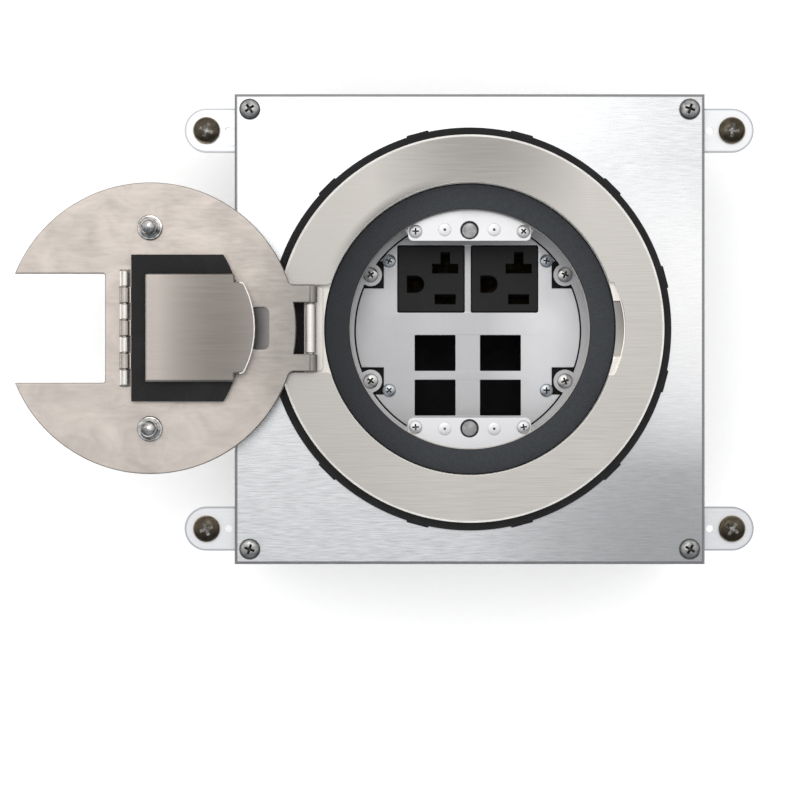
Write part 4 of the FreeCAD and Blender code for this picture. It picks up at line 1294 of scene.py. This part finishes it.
def flap_seal():
    """Black gasket under the plate, with corners that follow the lid's rim."""
    a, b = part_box("flap_gasket")
    side_turn = math.degrees(math.asin(b.y / GASKET_REACH))
    end_turn = math.degrees(math.acos((b.x - FLAP_MIDDLE) / GASKET_REACH))
    outline = [(a.x, -b.y)] + arc(FLAP_MIDDLE, 0, GASKET_REACH, -side_turn, -end_turn, 16)
    outline += arc(FLAP_MIDDLE, 0, GASKET_REACH, end_turn, side_turn, 16) + [(a.x, b.y)]
    seal = plate("flap_gasket_visual", [outline], a.z, b.z, 0.2 * MM)
    return finish(seal, "flap", "black_rubber", ["flap_gasket"], rubber_black())


def flap_backing():
    """Backing sheet, level with the hinge axis, and the flap's own knuckles with their necks."""
    x, z = FLAP_HINGE.x, FLAP_HINGE.z
    half = low("flap_gasket").z - z
    sheet = high("flap_backing")
    start = x + 2.3 * MM
    end_y = min(sheet.y, math.sqrt(GASKET_REACH ** 2 - (sheet.x - FLAP_MIDDLE) ** 2))
    outline = [(start, -sheet.y), (sheet.x, -end_y), (sheet.x, end_y), (start, sheet.y)]
    pieces = [plate("backing", [outline], z - half, z + half, 0.1 * MM)]
    for y0, y1 in knuckle_spans(1):
        pieces.append(barrel("knuckle", x, z, FLAP_KNUCKLE_R, y0, y1))
        neck = rounded(x, x + 2.8 * MM, y0, y1, 0.2 * MM)
        pieces.append(plate("neck", [neck], z - half, z + half, 0.1 * MM))
    backing = together("flap_backing_visual", pieces)
    return finish(backing, "flap", "stainless", ["flap_backing"], knuckle_steel())


def flap_hinge():
    """The lid's knuckles of the flap hinge, each on a neck and a foot in the groove, and the pin."""
    x, z = FLAP_HINGE.x, FLAP_HINGE.z
    front = x + 1.1 * MM
    pieces = []
    for y0, y1 in knuckle_spans(0):
        neck = rounded(x - 1.1 * MM, front, y0, y1, 0.2 * MM)
        foot = rounded(x - 2.2 * MM, front, y0, y1, 0.3 * MM)
        pieces.append(barrel("knuckle", x, z, FIXED_KNUCKLE_R, y0, y1))
        pieces.append(plate("neck", [neck], LID_FACE, z, 0.1 * MM))
        pieces.append(plate("foot", [foot], low("flap_hinge_knuckles").z, LID_FACE + 0.6 * MM, 0.15 * MM))
    fixed = together("flap_hinge_knuckles_visual", pieces)
    # Painted highlight: the knuckles take the lighter copy of the stainless.
    finish(fixed, "lid", "stainless", ["flap_hinge_knuckles"], stainless_lit())
    a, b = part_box("flap_hinge_pin")
    pin = barrel("flap_hinge_pin_visual", x, z, FLAP_PIN_R, a.y, b.y, 24)
    return finish(pin, "lid", "bright_steel", ["flap_hinge_pin"], bright_steel())


def knuckle_spans(kind):
    """Lengths of the flap hinge's knuckles: 0 for the lid's, 1 for the flap's."""
    half = high("flap_hinge_pin").y
    pitch, gap = 2 * half / FLAP_KNUCKLES, KNUCKLE_GAP / 2
    return [(-half + i * pitch + gap, -half + (i + 1) * pitch - gap)
            for i in range(FLAP_KNUCKLES) if i % 2 == kind]


# Screws, rivets and studs

def pan_screw(head_r, shank_r, length, neck):
    """Pan-head screw with a cross recess, its seat at height 0; RIM_SHARE is its upright rim."""
    head_h = head_r * 0.5
    dome = [(head_r * math.cos(a), head_h * (RIM_SHARE + (1 - RIM_SHARE) * math.sin(a)))
            for a in (math.radians(d) for d in range(0, 90, 10))]
    outline = [(0, -length), (shank_r * 0.9, -length), (shank_r, -length + shank_r * 0.3)]
    if neck:
        outline = [(0, -length), (shank_r, shank_r * 2 - length), (shank_r, -neck),
                   (shank_r + 0.15 * MM, -neck)]
    outline += [(outline[-1][0], 0), (head_r * 0.97, 0)] + dome + [(0, head_h)]
    screw = lathe("screw", outline, 56)
    for turn in (0, 90):
        cut(screw, moved(cross_arm(head_r, head_h), Matrix.Rotation(math.radians(turn), 4, "Z")))
    applied(broken_edges(screw, head_r * 0.025, 40))

    def deep(place):
        across = min(0.99, place.xy.length / head_r)
        surface = head_h * (RIM_SHARE + (1 - RIM_SHARE) * math.sqrt(1 - across * across))
        return across < 0.6 and 0.1 * head_h < place.z < surface - 0.07 * head_h

    return marked(screw, deep)


def cross_arm(head_r, head_h):
    """One arm of the cross recess, narrower and shorter at its bottom."""
    bm = bmesh.new()
    rings = []
    for rise, reach, wide in ((0.25, 0.22, 0.06), (1.2, 0.62, 0.14)):
        x, y, z = head_r * reach, head_r * wide, head_h * rise
        rings.append([bm.verts.new(corner) for corner in ((-x, -y, z), (x, -y, z), (x, y, z), (-x, y, z))])
    bm.faces.new(rings[0])
    bm.faces.new(rings[1])
    for i in range(4):
        j = (i + 1) % 4
        bm.faces.new((rings[0][i], rings[0][j], rings[1][j], rings[1][i]))
    return from_bmesh("arm", bm)


def screw_places(node, head_r, z):
    """The four places of a node's screws, looking up, from the corners of the node's own box."""
    a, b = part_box(node)
    return [((x, y, z), (0, 0, 1))
            for x in (a.x + head_r, b.x - head_r) for y in (a.y + head_r, b.y - head_r)]


def screws():
    """The five groups of screws, each set by the same node group.

    A row holds the node, the radii of the head and shank, the length, the neck's length, the
    material, the slot and the seed of the turns.
    """
    screw_silver = satin_silver("screw_silver", 1.35)
    groups = (
        ("cover_screws", COVER_SCREW_R, 1.6 * MM, 8 * MM, 0.0, cover_screw_steel(), "bright_steel", 3),
        ("ear_screws", EAR_SCREW_R, 2.2 * MM, 28 * MM, 2.1 * MM, bronze_screw(), "bronze_screw", 11),
        ("catch_screws", 2.65 * MM, 1.1 * MM, 5 * MM, 0.0, screw_silver, "bright_steel", 5),
        ("device_plate_screws", 2.7 * MM, 1.1 * MM, 5 * MM, 0.0, zinc_screw(), "bright_steel", 8),
        ("lug_screws", LUG_SCREW_R, 1.3 * MM, 5 * MM, 0.0, bright_steel(), "bright_steel", 21),
    )
    for node, head_r, shank_r, length, neck, material, slot, seed in groups:
        places = screw_places(node, head_r, low(node).z + length)
        piece = pan_screw(head_r, shank_r, length, neck)
        set_at(node, piece, places, material, math.pi, seed, slot=slot)


def catch_rivets():
    """Flat rivets of the catch plates, each with a dimple in its head."""
    tail_r, shank_r, tail, dimple = 1.8 * MM, 1.2 * MM, 0.8 * MM, 0.5 * MM
    length = 3.3 * MM
    outline = [(0, -length), (tail_r, -length), (tail_r, tail - length), (shank_r, tail - length),
               (shank_r, 0), (2.6 * MM, 0), (2.5 * MM, 0.1 * MM), (2.1 * MM, 0.18 * MM),
               (0.6 * MM, 0.18 * MM), (0.45 * MM, 0.06 * MM), (0, 0.04 * MM)]
    # The dimple takes painted shade.
    piece = marked(lathe("rivet", outline, 40), lambda place: place.xy.length < dimple and place.z > 0)
    set_at("catch_rivets", piece, screw_places("catch_rivets", CATCH_RIVET_R, LEDGE_LOW), catch_silver())


def ear_rivets():
    """Pop rivets of the ears, two for each, that look outwards."""
    a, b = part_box("ear_rivets")
    r, tail_r, shank_r = 2.8 * MM, 2.2 * MM, 1.6 * MM
    head_h, length, pitch = 1.2 * MM, 5.7 * MM, 9.6 * MM
    outline = [(0, -length), (tail_r, -length), (tail_r, 1.1 * MM - length), (shank_r, 1.2 * MM - length),
               (shank_r, 0), (r, 0), (r * 0.93, 0.6 * MM), (r * 0.62, 1.1 * MM), (0.9 * MM, head_h),
               (0.7 * MM, 0.6 * MM), (0, 0.5 * MM)]
    outer, upper, z = b.x - head_h, b.y - r, (a.z + b.z) / 2
    places = [((side * outer, end * y, z), (side, 0, 0))
              for side in (-1, 1) for end in (-1, 1) for y in (upper, upper - pitch)]
    set_at("ear_rivets", lathe("rivet", outline, 32), places, bright_steel())


def latch_studs():
    """Domed studs under the lid, each with its flange."""
    foot = low("latch_studs").z - LID_FACE
    tall = high("latch_studs").z - LID_FACE - 0.001 * MM
    r, flange, dome_h = 3.2 * MM, 5.0 * MM, 2.2 * MM
    dome = [(r * math.cos(a), tall - dome_h + dome_h * math.sin(a))
            for a in (math.radians(d) for d in range(0, 90, 9))]
    outline = [(0, foot), (r * 0.6, foot), (r * 0.6, 0), (flange * 0.97, 0), (flange, 0.25 * MM),
               (flange, 0.75 * MM), (flange * 0.93, 1.15 * MM), (flange * 0.84, 1.2 * MM),
               (r + 0.7 * MM, 1.0 * MM), (r + 0.1 * MM, 1.3 * MM), (r * 0.97, 2.4 * MM)]
    piece = lathe("stud", outline + dome + [(0, tall)], 72)
    places = [((LID_X, side * STUD_Y, LID_FACE), (0, 0, 1)) for side in (-1, 1)]
    set_at("latch_studs", piece, places, chrome(), body="lid")


# Finishes of the pieces that keep the CAD node

def sheet_parts():
    """Box, cover, ears, brackets, sleeves and wiring parts: finish and broken edges."""
    # The cover, the ears, the box sheets and the brass carry painted light and shade in their materials.
    sheets = {
        galvanised_cover(): ["cover_plate"],
        galvanised_ear(): ["ear_upper_left", "ear_lower_left", "ear_upper_right", "ear_lower_right"],
        galvanised_sheet(): ["box_shell", "lock_ring", "carrier_left", "carrier_right", "voltage_divider",
                             "magnet_bracket_upper", "magnet_bracket_lower"],
        satin_silver("well_silver", 1.0): ["well_sleeve", "well_foot", "catch_tabs"],
        outlet_black(): ["outlet_body_left", "outlet_body_right"],
        brass(): ["outlet_contacts_left", "outlet_contacts_right", "terminal_screws_left",
                  "terminal_screws_right"],
        green_screw(): ["earth_screw"],
    }
    for material, names in sheets.items():
        for name in names:
            obj = painted(frame["nodes"][name], material)
            broken_edges(obj, EAR_EDGE if name.startswith("ear_") else SHEET_EDGE, 40)


# Stage

def key_light(place, look_at):
    """Large soft light over the far side of the box."""
    data = bpy.data.lights.new("key", "AREA")
    data.energy = 0.95
    data.color = (1.0, 0.995, 0.985)
    data.size = 0.5
    lamp = new_object("key", data)
    lamp.location = place
    lamp.rotation_euler = (Vector(look_at) - Vector(place)).to_track_quat("-Z", "Y").to_euler()


def pale_floor():
    """Round floor whose rim fades into the white of the world."""
    bpy.ops.mesh.primitive_circle_add(vertices=96, radius=3.0, fill_type="NGON",
                                      location=(0, 0, CAD_LOW.z - 0.5 * MM))
    floor = bpy.context.object
    floor.name = "floor"
    mat, tree, shader = new_material("floor", 0.0, 0.62)
    if tree:
        grain = noise(tree, place_on(tree), 320.0, 4.0)
        base = colours().floor
        toned = blend_colour(tree, spread(tree, grain, 0.3, 0.7), shade(base, 0.985), shade(base, 1.0))
        tree.links.new(toned, shader.inputs["Base Color"])
    floor.data.materials.append(mat)
    return floor


def studio_world():
    """White all round; mirrored in the metal, a sky that dims to the lower right and to the horizon."""
    world = bpy.data.worlds.new("studio")
    bpy.context.scene.world = world
    world.use_nodes = True
    tree = world.node_tree
    tree.nodes.clear()
    link = tree.links.new
    where = tree.nodes.new("ShaderNodeTexCoord")
    x, y, z = parts_of(tree, where.outputs["Generated"])
    slope = calculate(tree, "ADD", calculate(tree, "MULTIPLY", x, -0.12), y)
    ramp = tree.nodes.new("ShaderNodeValToRGB")
    stops = ramp.color_ramp.elements
    stops[0].position, stops[0].color = 0.30, (0.26, 0.275, 0.30, 1)
    stops[1].position, stops[1].color = 0.64, (1.0, 0.995, 0.985, 1)
    middle = stops.new(0.48)
    middle.color = (0.76, 0.76, 0.77, 1)
    link(spread(tree, slope, -0.9, 0.9), ramp.inputs["Fac"])
    dim = spread(tree, z, 0.05, 0.7, 0.20, 1.0)
    sky = tree.nodes.new("ShaderNodeBackground")
    link(calculate(tree, "MULTIPLY", dim, 1.05), sky.inputs["Strength"])
    link(ramp.outputs["Color"], sky.inputs["Color"])
    white = tree.nodes.new("ShaderNodeBackground")
    white.inputs["Color"].default_value = (1, 1, 1, 1)
    white.inputs["Strength"].default_value = 1.36
    path = tree.nodes.new("ShaderNodeLightPath")
    mix = tree.nodes.new("ShaderNodeMixShader")
    link(path.outputs["Is Glossy Ray"], mix.inputs["Fac"])
    link(white.outputs["Background"], mix.inputs[1])
    link(sky.outputs["Background"], mix.inputs[2])
    out = tree.nodes.new("ShaderNodeOutputWorld")
    link(mix.outputs["Shader"], out.inputs["Surface"])


def studio():
    """Floor, world, key light and a camera that looks straight down."""
    pale_floor()
    studio_world()
    key_light((-0.12, 0.35, 1.30), (-0.02, 0.03, 0.05))
    scene = bpy.context.scene
    scene.view_settings.view_transform = "Standard"
    scene.view_settings.look = "None"
    data = bpy.data.cameras.new("camera")
    camera = new_object("camera", data)
    camera.location = CAMERA_PLACE
    data.lens = CAMERA_LENS
    data.sensor_width = 36.0
    data.clip_start = 0.01
    scene.camera = camera


# Operators, panel and main

class FLOORBOX_OT_ring(bpy.types.Operator):
    """Make the trim ring, the carpet ring, the foam ring and the hinge leaf"""
    bl_idname = "floor_box.ring"
    bl_label = "Rings"

    def execute(self, context):
        trim_ring()
        carpet_ring()
        foam_ring()
        hinge_leaf()
        return {"FINISHED"}


class FLOORBOX_OT_well(bpy.types.Operator):
    """Make the catch plates, the device plate and the outlets"""
    bl_idname = "floor_box.well"
    bl_label = "Well and outlets"

    def execute(self, context):
        catch_plates()
        device_plate()
        outlet_faces()
        return {"FINISHED"}


class FLOORBOX_OT_lid(bpy.types.Operator):
    """Make the lid with its studs"""
    bl_idname = "floor_box.lid"
    bl_label = "Lid"

    def execute(self, context):
        lid_plate()
        latch_studs()
        return {"FINISHED"}


class FLOORBOX_OT_flap(bpy.types.Operator):
    """Make the cable flap with its seal and hinge"""
    bl_idname = "floor_box.flap"
    bl_label = "Cable flap"

    def execute(self, context):
        flap_pieces()
        return {"FINISHED"}


class FLOORBOX_OT_fasteners(bpy.types.Operator):
    """Set the screws and rivets"""
    bl_idname = "floor_box.fasteners"
    bl_label = "Screws and rivets"

    def execute(self, context):
        screws()
        catch_rivets()
        ear_rivets()
        return {"FINISHED"}


class FLOORBOX_OT_sheets(bpy.types.Operator):
    """Give the sheet parts and the wiring parts their finishes"""
    bl_idname = "floor_box.sheets"
    bl_label = "Sheet finishes"

    def execute(self, context):
        sheet_parts()
        return {"FINISHED"}


class FLOORBOX_OT_stage(bpy.types.Operator):
    """Set the floor, the lights, the world and the camera"""
    bl_idname = "floor_box.stage"
    bl_label = "Stage"

    def execute(self, context):
        studio()
        return {"FINISHED"}


OPERATORS = (FLOORBOX_OT_ring, FLOORBOX_OT_well, FLOORBOX_OT_lid, FLOORBOX_OT_flap,
             FLOORBOX_OT_fasteners, FLOORBOX_OT_sheets, FLOORBOX_OT_stage)


class FLOORBOX_PT_panel(bpy.types.Panel):
    """Lists the pieces, their sizes and their colours"""
    bl_label = "Floor box"
    bl_idname = "FLOORBOX_PT_panel"
    bl_space_type = "VIEW_3D"
    bl_region_type = "UI"
    bl_category = "Floor box"

    def draw(self, context):
        for group in (context.scene.floor_box_sizes, context.scene.floor_box_colours):
            part = self.layout.box()
            for name in group.bl_rna.properties.keys():
                if name not in ("rna_type", "name"):
                    part.prop(group, name)
        column = self.layout.column(align=True)
        for operator in OPERATORS:
            column.operator(operator.bl_idname)


CLASSES = (FloorBoxSizes, FloorBoxColours) + OPERATORS + (FLOORBOX_PT_panel,)


def register():
    for cls in CLASSES:
        bpy.utils.register_class(cls)
    bpy.types.Scene.floor_box_sizes = bpy.props.PointerProperty(type=FloorBoxSizes)
    bpy.types.Scene.floor_box_colours = bpy.props.PointerProperty(type=FloorBoxColours)


def unregister():
    del bpy.types.Scene.floor_box_colours
    del bpy.types.Scene.floor_box_sizes
    for cls in reversed(CLASSES):
        bpy.utils.unregister_class(cls)


def main():
    register()
    for operator in OPERATORS:
        group, name = operator.bl_idname.split(".")
        result = getattr(getattr(bpy.ops, group), name)()
        if "FINISHED" not in result:
            raise RuntimeError(operator.bl_label + " was not finished")


if __name__ == "__main__":
    main()
